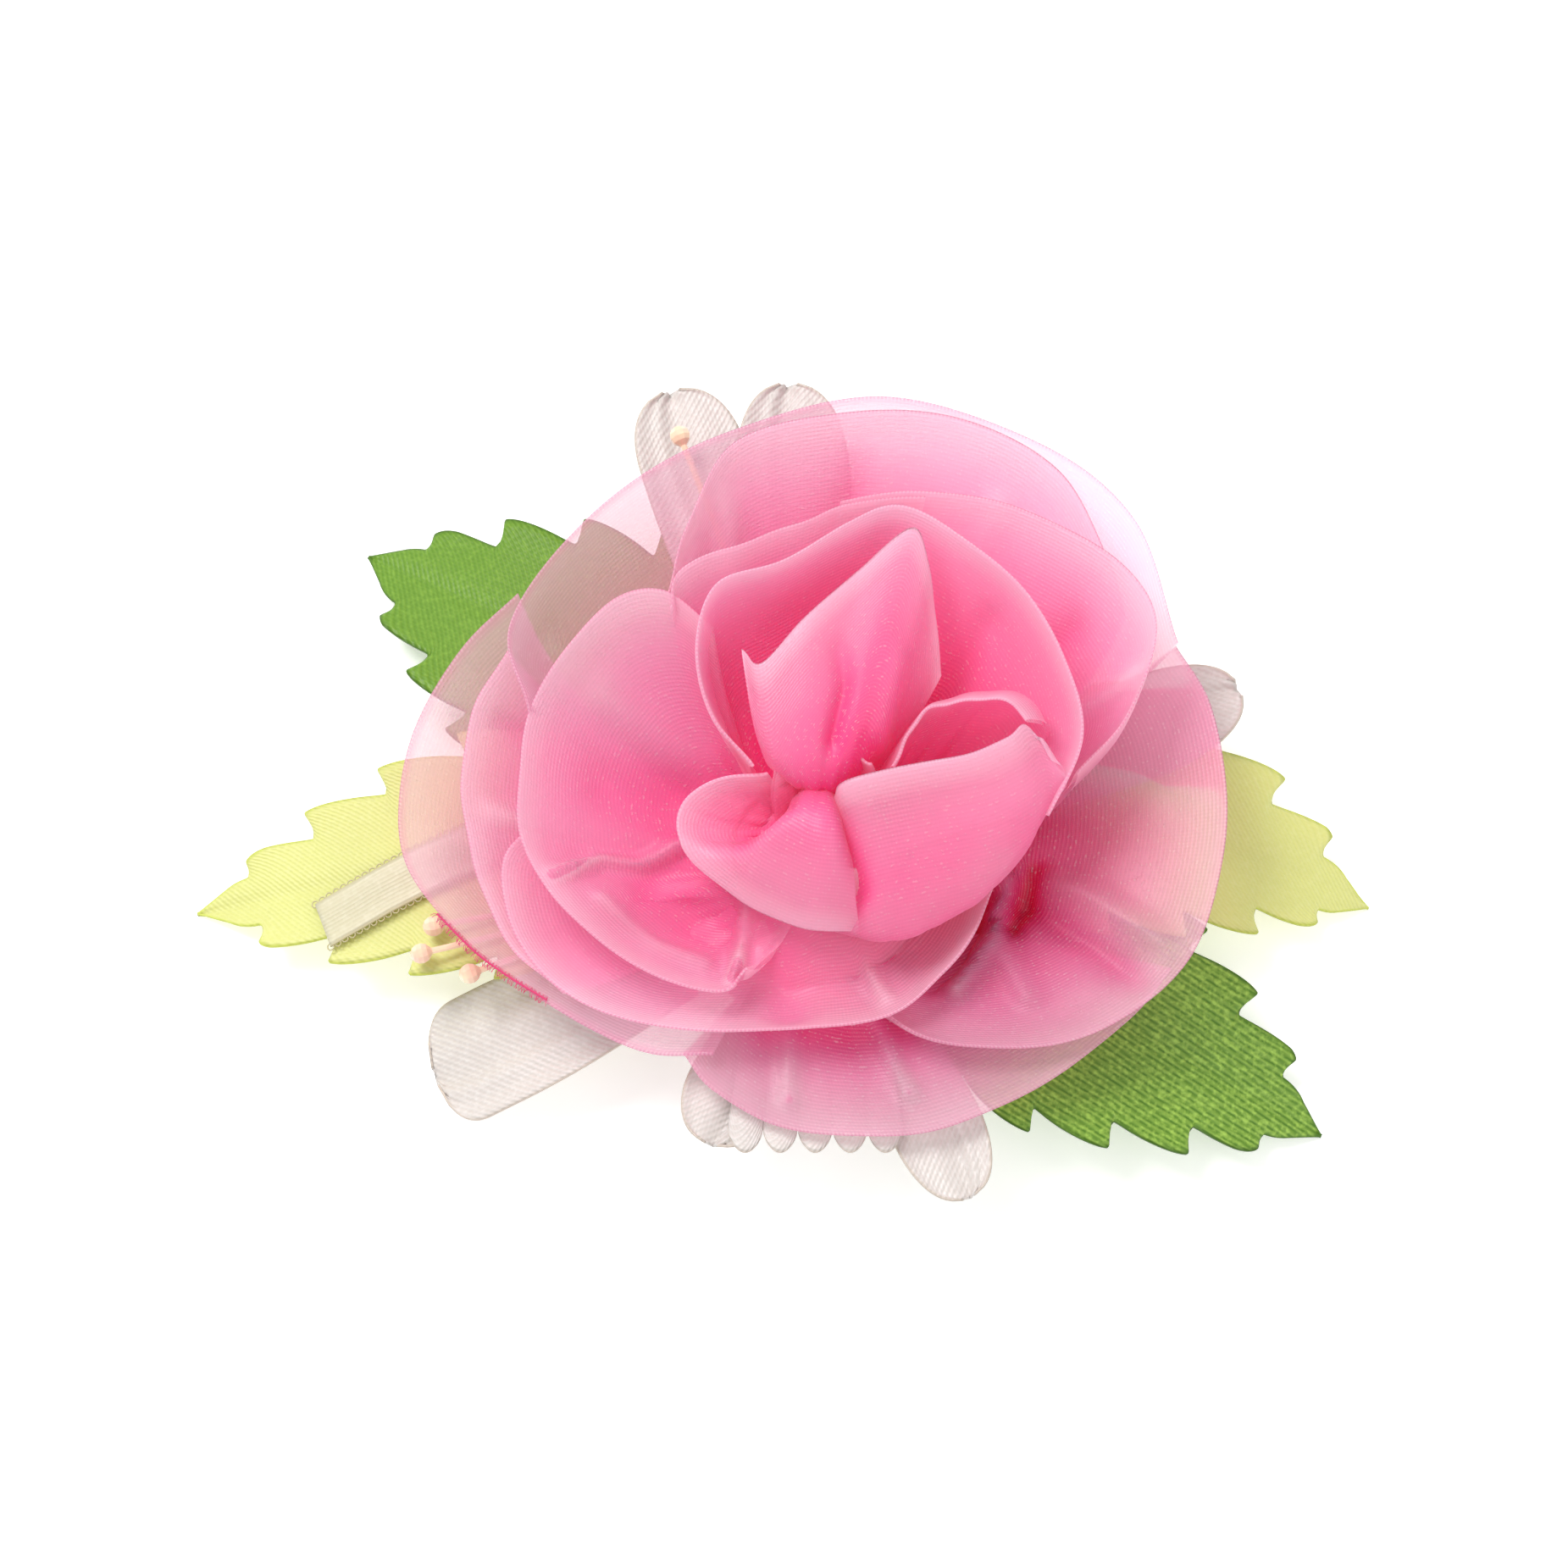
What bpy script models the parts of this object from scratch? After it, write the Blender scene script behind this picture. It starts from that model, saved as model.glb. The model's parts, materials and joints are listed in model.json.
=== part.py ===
"""Organza rose hair clip: a layered rose on satin leaves, cream petals, stamens and a ribbon tail,
sewn to a felt base that is held by a sprung alligator clip.

Units are metres, written as millimetres times MM. The origin is the middle of the flat face of the
clip's fixed arm that grips the hair. +Z points out of the hair towards the front of the rose, +X
runs along the clip towards its handle, and +Y points to the tall back petals.
"""

import math

import bmesh
import bpy
import numpy as np

MM = 0.001

# ---- driving dimensions, in millimetres -------------------------------------------------------
FIT = 0.3                    # clearance between pieces that touch or are glued
CLOTH = 0.5                  # thickness of a satin layer as modelled
FELT_WALL = 1.2              # felt thickness
FELT_LENGTH = 44.0           # oval felt base, along the clip
FELT_WIDTH = 38.0
FELT_X = 4.0                 # middle of the felt along the clip
SEAT_RADIUS = 18.0           # buckram seat that the petals are gathered onto
SEAT_WALL = 0.5

ROSE_SPREAD = 1.0            # how far the petals reach out, beside the ring table below
ROSE_RISE = 1.0              # how high they rise over the seat, beside the same table
PETAL_COLUMNS = 13
PETAL_ROWS = 7
PETAL_WALL = 0.4             # thickness of a petal's folded organza as modelled

LEAF_TEETH = 4               # hooked teeth on each side of a leaf
EDGE_LIFT = 0.8              # how far a leaf's edges rise over its middle
TOOTH_DEPTH = 0.13           # as a share of the half width
RIBBON_WIDTH = 6.0
RIBBON_WALL = 0.4

WIRE = 0.8                   # stamen wire
BEAD = 2.6                   # pearl at the end of a stamen

CLIP_TIP = -21.0             # X of the clip's jaw tip
CLIP_TAIL = 30.0             # X of the end of its handle
CLIP_WIDTH = 9.0
CLIP_WALL = 0.8
HINGE_X = 12.0
HINGE_DROP = 3.2             # hinge axis below the gripping face
PIN_RADIUS = 0.75
EAR_RADIUS = PIN_RADIUS + FIT + 1.35
HANDLE_DROP = 8.4            # lowest point of the clip below the gripping face
SPRING_WIRE = 0.6
SPRING_TURNS = 4
SPRING_COIL = PIN_RADIUS + FIT + SPRING_WIRE   # radius to the middle of the wire
KEEPER_WIDTH = 5.0           # felt loop that holds the clip's fixed arm
KEEPER_X = 5.5
KEEPER_WALL = 0.7
TOOTH_PITCH = 1.5            # teeth in the clip's jaw
JAW_TEETH = 5

# Heights of the stacked layers, worked up from the gripping face at Z = 0.
FELT_BOTTOM = CLIP_WALL + FIT
FELT_TOP = FELT_BOTTOM + FELT_WALL
LEAF_LOW = FELT_TOP + FIT + CLOTH / 2
LEAF_HIGH = LEAF_LOW + CLOTH + FIT
CREAM_LOW = LEAF_HIGH + CLOTH + FIT
CREAM_HIGH = CREAM_LOW + CLOTH + FIT
STAMEN_LOW = LEAF_HIGH + CLOTH / 2 + 2 * FIT + WIRE / 2
STAMEN_HIGH = CREAM_HIGH + CLOTH / 2 + FIT + WIRE / 2
SEAT_BOTTOM = CREAM_HIGH + CLOTH / 2 + FIT
SEAT_TOP = SEAT_BOTTOM + SEAT_WALL
REST = -HANDLE_DROP          # height of the table that the clip and the leaf tips rest on
LEAF_REST = REST + CLOTH / 2

# The rose is a family of nested bowls. Each ring gives one bowl: its depth in the rose (0 at the
# heart, 1 outside), its base radius, and radius and height over the seat of its belly and its rim
# to the right, back, left and front.
RINGS = [
    # depth, base, belly radii, belly heights, rim radii, rim heights
    (0.00, 2.2, (3.6, 3.6, 3.6, 3.6), (15, 15, 15, 15), (2.4, 2.4, 2.4, 2.4), (23, 25, 23, 22)),
    (0.36, 7.6, (21, 19, 15, 13.5), (15, 17, 12.5, 12), (26, 30, 16, 5.5), (25, 29, 24, 26)),
    (0.49, 10.0, (26, 27, 25, 17), (12, 15, 8.5, 7), (33.5, 37, 34.5, 19.5), (23, 27, 16, 12.5)),
    (0.76, 14.0, (32, 35, 32, 21.5), (7, 9.5, 5, 3), (43, 49, 42.5, 25.5), (17, 22, 13, 7)),
    (1.00, 17.2, (36, 39, 36, 28), (3, 4.6, 3, 1.4), (48.5, 53, 49, 36), (11, 19, 11, 3.4)),
]
SEAT_CONE = 13.0             # how far the seat rises from its rim to the heart

# name, depth in the rose, first and last angle in degrees from +X, how pointed the tip is, and how
# much narrower the gathered base is than the rim.
PETALS = [
    ("petal_outer_back", 1.00, 22, 158, 0.0, 0.80),
    ("petal_outer_front", 1.00, 226, 340, 0.0, 0.70),
    ("petal_outer_left", 0.88, 132, 218, 0.0, 0.80),
    ("petal_outer_right", 0.90, 282, 394, 0.0, 0.70),
    ("petal_second_back", 0.80, 26, 128, 0.0, 0.80),
    ("petal_second_left", 0.772, 132, 190, 0.0, 0.80),
    ("petal_second_front", 0.67, 146, 352, 0.0, 0.90),
    ("petal_third_right", 0.60, -4, 92, 0.0, 0.80),
    ("petal_third_left", 0.60, 96, 162, 0.0, 0.80),
    ("petal_bowl_left", 0.52, 118, 262, 0.0, 0.85),
    ("petal_cup_back", 0.46, -12, 120, 0.0, 0.85),
    ("petal_heart_front", 0.36, 190, 384, 0.0, 0.90),
    ("petal_heart_back", 0.36, 34, 136, 0.5, 0.90),
    ("petal_heart_right", 0.27, -30, 78, 0.0, 0.90),
    ("petal_heart_left", 0.27, 130, 262, 0.0, 0.90),
    ("petal_bud_front", 0.17, 170, 330, 0.0, 0.90),
    ("petal_bud_back", 0.17, -20, 150, 0.2, 0.90),
]

LEAF_LEVEL = 0.3             # share of a leaf that lies flat before it droops
LEAVES = [
    # name, base and tip in plan, layer height, width, sideways bow
    ("leaf_lime_left", (-15, 5), (-75, -1), LEAF_HIGH, 28, 1.5),
    ("leaf_lime_right", (16, 12), (67.5, 2.0), LEAF_HIGH, 28, 1.5),
    ("leaf_green_back", (-8, 15), (-55.5, 45.5), LEAF_LOW, 34, 0.0),
    ("leaf_green_front", (10, -10), (61, -29.5), LEAF_LOW, 30, -1.0),
]

# name, angle, base radius, tip radius, width, layer height, tip height
CREAM_PETALS = [
    ("cream_petal_back_left", 104, 19, 65, 20, CREAM_LOW, 5.0),
    ("cream_petal_back", 93, 19, 62, 16, CREAM_HIGH, 6.0),
    ("cream_petal_right", 24, 19, 55, 15, CREAM_HIGH, CREAM_LOW),
    ("cream_petal_front_left", 216, 19, 53, 22, CREAM_LOW, LEAF_REST + 0.6),
    ("cream_petal_front", 247, 17, 36, 14, CREAM_LOW, 3.5),
    ("cream_petal_front_right", 297, 17, 44, 14, CREAM_LOW, 3.5),
]

# name, base and tip as angle, radius and height
STAMENS = [
    ("stamen_upper", (186, 20, STAMEN_LOW), (188.5, 44.5, STAMEN_LOW)),
    ("stamen_middle", (190, 20, STAMEN_LOW), (192.3, 46.5, STAMEN_LOW)),
    ("stamen_lower", (194, 20, STAMEN_LOW), (197.2, 41.5, STAMEN_LOW)),
    ("stamen_back", (99, 21, STAMEN_HIGH), (106.5, 56, STAMEN_HIGH + 2.8)),
]

FRILL_TONGUES = 5
FRILL_WIDTH = 20.5
FRILL_INNER, FRILL_OUTER = 18.0, 35.0

COLOURS = {
    "organza": (0.90, 0.22, 0.47, 1.0),
    "lime_satin": (0.80, 0.86, 0.36, 1.0),
    "green_satin": (0.24, 0.44, 0.08, 1.0),
    "cream_satin": (0.86, 0.84, 0.76, 1.0),
    "pearl": (0.88, 0.76, 0.52, 1.0),
    "felt": (0.85, 0.84, 0.80, 1.0),
    "steel": (0.72, 0.72, 0.74, 1.0),
}


# ---- Blender helpers --------------------------------------------------------------------------
def clear_scene():
    for old in list(bpy.data.objects):
        bpy.data.objects.remove(old, do_unlink=True)


def finish_of(kind):
    found = bpy.data.materials.get(kind)
    if found:
        return found
    made = bpy.data.materials.new(kind)
    made.use_nodes = True
    shader = made.node_tree.nodes["Principled BSDF"]
    shader.inputs["Base Color"].default_value = COLOURS[kind]
    shader.inputs["Metallic"].default_value = 1.0 if kind == "steel" else 0.0
    shader.inputs["Roughness"].default_value = {"steel": 0.25, "felt": 0.95}.get(kind, 0.45)
    made.diffuse_color = COLOURS[kind]
    return made


def piece(name, points, faces, kind, smooth=True):
    """An object from points in millimetres."""
    mesh = bpy.data.meshes.new(name)
    mesh.from_pydata([tuple(c * MM for c in p) for p in points], [], faces)
    mesh.materials.append(finish_of(kind))
    mesh.validate()
    if smooth:
        mesh.shade_smooth()
        mesh.set_sharp_from_angle(angle=math.radians(40))
    made = bpy.data.objects.new(name, mesh)
    bpy.context.scene.collection.objects.link(made)
    return made


def outward(obj):
    """Turns every face of a closed mesh to point outwards."""
    mesh = obj.data
    shape = bmesh.new()
    shape.from_mesh(mesh)
    bmesh.ops.recalc_face_normals(shape, faces=shape.faces)
    if shape.calc_volume(signed=True) < 0:
        bmesh.ops.reverse_faces(shape, faces=shape.faces)
    shape.to_mesh(mesh)
    shape.free()
    return obj


def sheet(name, at, columns, rows, wall, kind):
    """A closed sheet of even thickness about the surface at(u, v), u and v running from 0 to 1."""
    us, vs = np.linspace(0, 1, columns), np.linspace(0, 1, rows)
    middle = np.array([[at(u, v) for v in vs] for u in us], float)
    along_u = np.gradient(middle, axis=0)
    along_v = np.gradient(middle, axis=1)
    normal = np.cross(along_u, along_v)
    normal /= np.maximum(np.linalg.norm(normal, axis=2, keepdims=True), 1e-9)
    points = np.concatenate([(middle + normal * wall / 2).reshape(-1, 3),
                             (middle - normal * wall / 2).reshape(-1, 3)])
    under = columns * rows
    faces = []
    for i in range(columns - 1):
        for j in range(rows - 1):
            a, b = i * rows + j, (i + 1) * rows + j
            faces += [(a, b, b + 1, a + 1), (a + under, a + 1 + under, b + 1 + under, b + under)]
    edge = [i * rows for i in range(columns)]
    edge += [(columns - 1) * rows + j for j in range(1, rows)]
    edge += [i * rows + rows - 1 for i in range(columns - 2, -1, -1)]
    edge += [j for j in range(rows - 2, 0, -1)]
    for a, b in zip(edge, edge[1:] + edge[:1]):
        faces.append((b, a, a + under, b + under))
    return outward(piece(name, points, faces, kind))


def lathe(name, profile, kind, sides=32):
    """A turned solid from (radius, height) points, first and last on the axis."""
    points = [(0, 0, profile[0][1])]
    for radius, height in profile[1:-1]:
        for k in range(sides):
            turn = 2 * math.pi * k / sides
            points.append((radius * math.cos(turn), radius * math.sin(turn), height))
    points.append((0, 0, profile[-1][1]))
    faces = []
    rings = len(profile) - 2
    for k in range(sides):
        after = (k + 1) % sides
        faces.append((0, 1 + after, 1 + k))
        for ring in range(rings - 1):
            low, high = 1 + ring * sides, 1 + (ring + 1) * sides
            faces.append((low + k, low + after, high + after, high + k))
        top = 1 + (rings - 1) * sides
        faces.append((top + k, top + after, len(points) - 1))
    return outward(piece(name, points, faces, kind))


def tube(name, line, radii, kind, sides=8):
    """A closed tube along a line of points, with a radius at each."""
    line = np.array(line, float)
    heading = np.gradient(line, axis=0)
    heading /= np.linalg.norm(heading, axis=1, keepdims=True)
    side = np.cross(heading[0], (0.31, 0.17, 0.94))
    points = []
    for centre, ahead, radius in zip(line, heading, radii):
        side = side - ahead * side.dot(ahead)
        side /= np.linalg.norm(side)
        over = np.cross(ahead, side)
        for k in range(sides):
            turn = 2 * math.pi * k / sides
            points.append(centre + radius * (math.cos(turn) * side + math.sin(turn) * over))
    faces = [tuple(range(sides)), tuple(range(len(points) - sides, len(points)))]
    for ring in range(len(line) - 1):
        for k in range(sides):
            after = (k + 1) % sides
            a, b = ring * sides, (ring + 1) * sides
            faces.append((a + k, a + after, b + after, b + k))
    return outward(piece(name, points, faces, kind))


def extruded(name, outline, low, high, kind, axis="Y"):
    """A prism: an outline in XZ pushed along Y, or one in XY pushed along Z."""
    count = len(outline)
    if axis == "Y":
        points = [(a, end, b) for end in (low, high) for a, b in outline]
    else:
        points = [(a, b, end) for end in (low, high) for a, b in outline]
    faces = [tuple(range(count)), tuple(range(2 * count - 1, count - 1, -1))]
    for k in range(count):
        after = (k + 1) % count
        faces.append((k, after, after + count, k + count))
    return outward(piece(name, points, faces, kind, smooth=False))


def combine(target, other, operation):
    """Joins or cuts target with other, which stays only as a guide."""
    change = target.modifiers.new(other.name, "BOOLEAN")
    change.operation = operation
    change.solver = "EXACT"
    change.object = other
    other.hide_render = True
    other.display_type = "WIRE"


def pin_cutter(name, radius):
    """A round cutter along the hinge axis."""
    ring = [(HINGE_X + radius * math.cos(t), -HINGE_DROP + radius * math.sin(t))
            for t in np.linspace(0, 2 * math.pi, 20, endpoint=False)]
    return extruded(name, ring, -CLIP_WIDTH, CLIP_WIDTH, "steel")


# ---- rose -------------------------------------------------------------------------------------
def around(four, turn):
    """A value round the rose that takes the four given values right, back, left and front."""
    right, back, left, front = four
    return ((right + back + left + front) / 4 + (right - left) / 2 * math.cos(turn)
            + (back - front) / 2 * math.sin(turn)
            + (right - back + left - front) / 4 * math.cos(2 * turn))


def ring_at(depth, turn):
    """Base, belly and rim, as (radius, height over the seat), of the bowl at this depth."""
    for low, high in zip(RINGS, RINGS[1:]):
        if depth <= high[0]:
            break
    share = (depth - low[0]) / (high[0] - low[0])
    found = []
    for ring in (low, high):
        base = (ring[1], 2 * FIT + SEAT_CONE * (1 - ring[1] / SEAT_RADIUS))
        belly = (around(ring[2], turn) * ROSE_SPREAD, around(ring[3], turn) * ROSE_RISE)
        rim = (around(ring[4], turn) * ROSE_SPREAD, around(ring[5], turn) * ROSE_RISE)
        found.append(np.array([base, belly, rim]))
    return found[0] * (1 - share) + found[1] * share


def rose_point(depth, turn, rise):
    """The point at this rise, 0 at the base and 1 at the rim, on the bowl at this depth."""
    base, belly, rim = ring_at(depth, turn)
    radius, height = (base * (1 - rise) * (1 - 2 * rise) + belly * 4 * rise * (1 - rise)
                      + rim * rise * (2 * rise - 1))
    return (radius * math.cos(turn), radius * math.sin(turn), SEAT_TOP + height)


def petal(name, depth, first, last, point, gather):
    centre, half = math.radians((first + last) / 2), math.radians((last - first) / 2)

    def at(u, v):
        across = 2 * u - 1
        shoulder = (1 - abs(across) ** 3.0) ** 0.5
        peak = 1 - point * abs(across)
        rise = v * (0.16 + 0.84 * shoulder * peak)
        turn = centre + half * across * (gather + (1 - gather) * rise)
        return rose_point(depth, turn, rise)

    return sheet(name, at, PETAL_COLUMNS, PETAL_ROWS, PETAL_WALL, "organza")


def make_rose():
    for spec in PETALS:
        petal(*spec)
    lathe("rose_seat", [(0, SEAT_BOTTOM), (SEAT_RADIUS, SEAT_BOTTOM), (SEAT_RADIUS, SEAT_TOP),
                        (0, SEAT_TOP + SEAT_CONE)], "felt")
    base = SEAT_TOP + SEAT_CONE + FIT
    lathe("rose_bud_core", [(0, base), (1.2, base), (1.7, base + 1.5), (1.8, base + 3.5),
                            (1.2, base + 5), (0, base + 5.4)], "organza", 16)


# ---- leaves, cream petals, ribbon, frill and stamens ------------------------------------------
def droop(start, end, share):
    """A height that leaves start level and comes down to end."""
    return start + (end - start) * share ** 1.7


def along_axis(base, tip, share, aside, bow):
    """A point beside the line from base to tip, aside to its left."""
    (x0, y0), (x1, y1) = base, tip
    length = math.hypot(x1 - x0, y1 - y0)
    ahead = ((x1 - x0) / length, (y1 - y0) / length)
    aside += bow * math.sin(math.pi * share)
    return (x0 + (x1 - x0) * share - ahead[1] * aside, y0 + (y1 - y0) * share + ahead[0] * aside)


def leaf_height(layer, share, edge):
    """The middle of a leaf: level, then drooping, with its edges (edge = 1) lifted a little."""
    hang = max(0.0, share - LEAF_LEVEL) / (1 - LEAF_LEVEL)
    lift = EDGE_LIFT * edge * math.sin(math.pi * share) * share
    return droop(layer, LEAF_REST, hang) + lift


def leaf(name, base, tip, layer, width, bow):
    """A die-cut leaf whose teeth hook towards its tip."""

    def half_width(share):
        body = (math.sin(math.pi / 2 * min(1, share / 0.5)) ** 0.8
                * math.sin(math.pi / 2 * min(1, (1 - share) / 0.52)))
        start = 0.3
        if share > start:
            tooth = (share - start) / (1 - start) * LEAF_TEETH % 1.0
            body *= 1 + TOOTH_DEPTH * (tooth - 0.5)
        return max(0.6, width / 2 * body)

    def at(u, v):
        x, y = along_axis(base, tip, u, (2 * v - 1) * half_width(u), bow)
        return (x, y, leaf_height(layer, u, abs(2 * v - 1)))

    kind = "lime_satin" if "lime" in name else "green_satin"
    return sheet(name, at, 26, 5, CLOTH, kind)


def cream_petal(name, angle, inner, outer, width, height, tip_height):
    turn = math.radians(angle)
    base = (inner * math.cos(turn), inner * math.sin(turn))
    tip = (outer * math.cos(turn), outer * math.sin(turn))

    def at(u, v):
        share = 0.02 + 0.96 * u
        half = max(1.5, width / 2 * math.sin(math.pi * share ** 1.25) ** 0.6)
        x, y = along_axis(base, tip, u, (2 * v - 1) * half, 0)
        return (x, y, droop(height, tip_height, u))

    return sheet(name, at, 14, 5, CLOTH, "cream_satin")


def ribbon_tail():
    """A tail of ribbon that lies along the left lime leaf."""
    leaf_base, leaf_tip, layer = LEAVES[0][1:4]
    start, end = (-19, 10), (-59, -5)

    def at(u, v):
        x, y = along_axis(start, end, u, (2 * v - 1) * RIBBON_WIDTH / 2, -1.5)
        share = (x - leaf_base[0]) / (leaf_tip[0] - leaf_base[0])
        return (x, y, leaf_height(layer, share, 1) + (CLOTH + RIBBON_WALL) / 2 + FIT)

    return sheet("ribbon_tail", at, 16, 3, RIBBON_WALL, "cream_satin")


def frill():
    """Round-ended pleated tongues in a row, under the front petal."""

    def at(u, v):
        tongue = abs(math.sin(math.pi * FRILL_TONGUES * u))
        x = (u - 0.5) * FRILL_WIDTH * (0.8 + 0.2 * v)
        reach = (FRILL_OUTER - FRILL_INNER) * (0.8 + 0.2 * tongue ** 0.5)
        height = CREAM_HIGH + 0.5 * tongue * v
        return (x, -FRILL_INNER - reach * v, height)

    return sheet("pleated_frill", at, FRILL_TONGUES * 8 + 1, 4, CLOTH, "cream_satin")


def stamen(name, base, tip):
    """A wire that swells into a pearl at its end."""
    ends = []
    for angle, radius, height in (base, tip):
        turn = math.radians(angle)
        ends.append(np.array((radius * math.cos(turn), radius * math.sin(turn), height)))
    ahead = (ends[1] - ends[0]) / np.linalg.norm(ends[1] - ends[0])
    line = [ends[0] + (ends[1] - ends[0]) * share for share in np.linspace(0, 1, 5)]
    radii = [WIRE / 2] * 5
    for turn in np.linspace(0.15, 0.92, 6) * math.pi:
        line.append(ends[1] + ahead * (BEAD / 2 * (1 - math.cos(turn)) + 0.05))
        radii.append(BEAD / 2 * math.sin(turn))
    return tube(name, line, radii, "pearl")


# ---- felt and clip ----------------------------------------------------------------------------
def oval(length, width, count=36):
    return [(length / 2 * math.cos(t) + FELT_X, width / 2 * math.sin(t))
            for t in np.linspace(0, 2 * math.pi, count, endpoint=False)]


def make_base():
    """The felt oval, and the felt loop that goes round the clip's fixed arm."""
    extruded("felt_base", oval(FELT_LENGTH, FELT_WIDTH), FELT_BOTTOM, FELT_TOP, "felt", "Z")
    inside = CLIP_WIDTH / 2 + FIT
    outside = inside + KEEPER_WALL
    top = FELT_BOTTOM - FIT / 3
    outline = [(-outside, top), (-inside, top), (-inside, -FIT), (inside, -FIT), (inside, top),
               (outside, top), (outside, -FIT - KEEPER_WALL), (-outside, -FIT - KEEPER_WALL)]
    points = [(x, y, z) for x in (KEEPER_X - KEEPER_WIDTH / 2, KEEPER_X + KEEPER_WIDTH / 2)
              for y, z in outline]
    count = len(outline)
    faces = [tuple(range(count)), tuple(range(2 * count - 1, count - 1, -1))]
    for k in range(count):
        after = (k + 1) % count
        faces.append((k, after, after + count, k + count))
    outward(piece("clip_keeper", points, faces, "felt", smooth=False))


def ear(name, inner, side, root):
    """A lug on one side of the clip, from root, in an arm's plate, to a round end at the hinge."""
    toward = 1 if root < -HINGE_DROP else -1
    outline = [(HINGE_X + EAR_RADIUS, root), (HINGE_X - EAR_RADIUS, root)]
    outline += [(HINGE_X - EAR_RADIUS * math.cos(t), -HINGE_DROP + toward * EAR_RADIUS * math.sin(t))
                for t in np.linspace(0, math.pi, 9)]
    low, high = sorted((side * inner, side * (inner + CLIP_WALL)))
    return extruded(name, outline, low, high, "steel")


def make_clip():
    half = CLIP_WIDTH / 2
    fixed = extruded("clip_fixed_arm", [(CLIP_TIP, 0), (CLIP_TAIL, 0), (CLIP_TAIL, CLIP_WALL),
                                        (CLIP_TIP, CLIP_WALL)], -half, half, "steel")
    outer = half - CLIP_WALL
    for side in (-1, 1):
        lug = ear(f"fixed_ear_{side + 1}", outer, side, CLIP_WALL / 2)
        combine(fixed, lug, "UNION")
    combine(fixed, pin_cutter("fixed_pin_hole", PIN_RADIUS + FIT), "DIFFERENCE")

    # The moving arm's side profile runs from the jaw tip under the hinge to the handle.
    under_hinge = -HINGE_DROP - SPRING_COIL - SPRING_WIRE / 2 - FIT - CLIP_WALL
    tail = -HANDLE_DROP
    top = [(CLIP_TIP + 0.6 + TOOTH_PITCH * (k + step), -FIT - 0.2 - drop)
           for k in range(JAW_TEETH) for step, drop in ((0.0, 0.0), (0.75, 0.9))]
    top += [(HINGE_X - EAR_RADIUS, under_hinge + CLIP_WALL),
            (HINGE_X + EAR_RADIUS, under_hinge + CLIP_WALL - 0.2),
            (CLIP_TAIL - 2, tail + CLIP_WALL), (CLIP_TAIL, tail + CLIP_WALL)]
    low = [(CLIP_TAIL, tail), (CLIP_TAIL - 2, tail), (HINGE_X + EAR_RADIUS, under_hinge - 0.2),
           (HINGE_X - EAR_RADIUS, under_hinge), (CLIP_TIP + 0.6 + TOOTH_PITCH * JAW_TEETH, -2.4),
           (CLIP_TIP + 0.6, -1.6)]
    inner = outer - FIT
    moving = extruded("clip_moving_arm", top + low, -inner, inner, "steel")
    for side in (-1, 1):
        lug = ear(f"moving_ear_{side + 1}", inner - CLIP_WALL, side, under_hinge + CLIP_WALL / 2)
        combine(moving, lug, "UNION")
    combine(moving, pin_cutter("moving_pin_hole", PIN_RADIUS + FIT), "DIFFERENCE")

    ring = [(HINGE_X + PIN_RADIUS * math.cos(t), -HINGE_DROP + PIN_RADIUS * math.sin(t))
            for t in np.linspace(0, 2 * math.pi, 16, endpoint=False)]
    extruded("clip_pin", ring, -half - 0.4, half + 0.4, "steel")

    # The spring: a leg under the fixed arm, turns round the pin, and a leg over the handle.
    coil = SPRING_COIL
    start, end = math.radians(80), math.radians(80 + 360 * SPRING_TURNS - 180)
    reach = 1.7
    line = [(HINGE_X + 9, -reach, -FIT - SPRING_WIRE / 2 - 0.1),
            (HINGE_X + 5, -reach, -FIT - SPRING_WIRE / 2 - 0.2)]
    for share in np.linspace(0, 1, SPRING_TURNS * 14):
        turn = start + (end - start) * share
        line.append((HINGE_X + coil * math.cos(turn), -reach + 2 * reach * share,
                     -HINGE_DROP + coil * math.sin(turn)))
    line += [(HINGE_X + 5, reach, -HINGE_DROP - coil + 0.1), (HINGE_X + 9, reach, -HINGE_DROP - coil - 0.4)]
    tube("clip_spring", line, [SPRING_WIRE / 2] * len(line), "steel", 6)


def main():
    clear_scene()
    make_clip()
    make_base()
    for spec in LEAVES:
        leaf(*spec)
    for spec in CREAM_PETALS:
        cream_petal(*spec)
    ribbon_tail()
    frill()
    for spec in STAMENS:
        stamen(*spec)
    make_rose()


main()
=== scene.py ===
import json
import math

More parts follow.
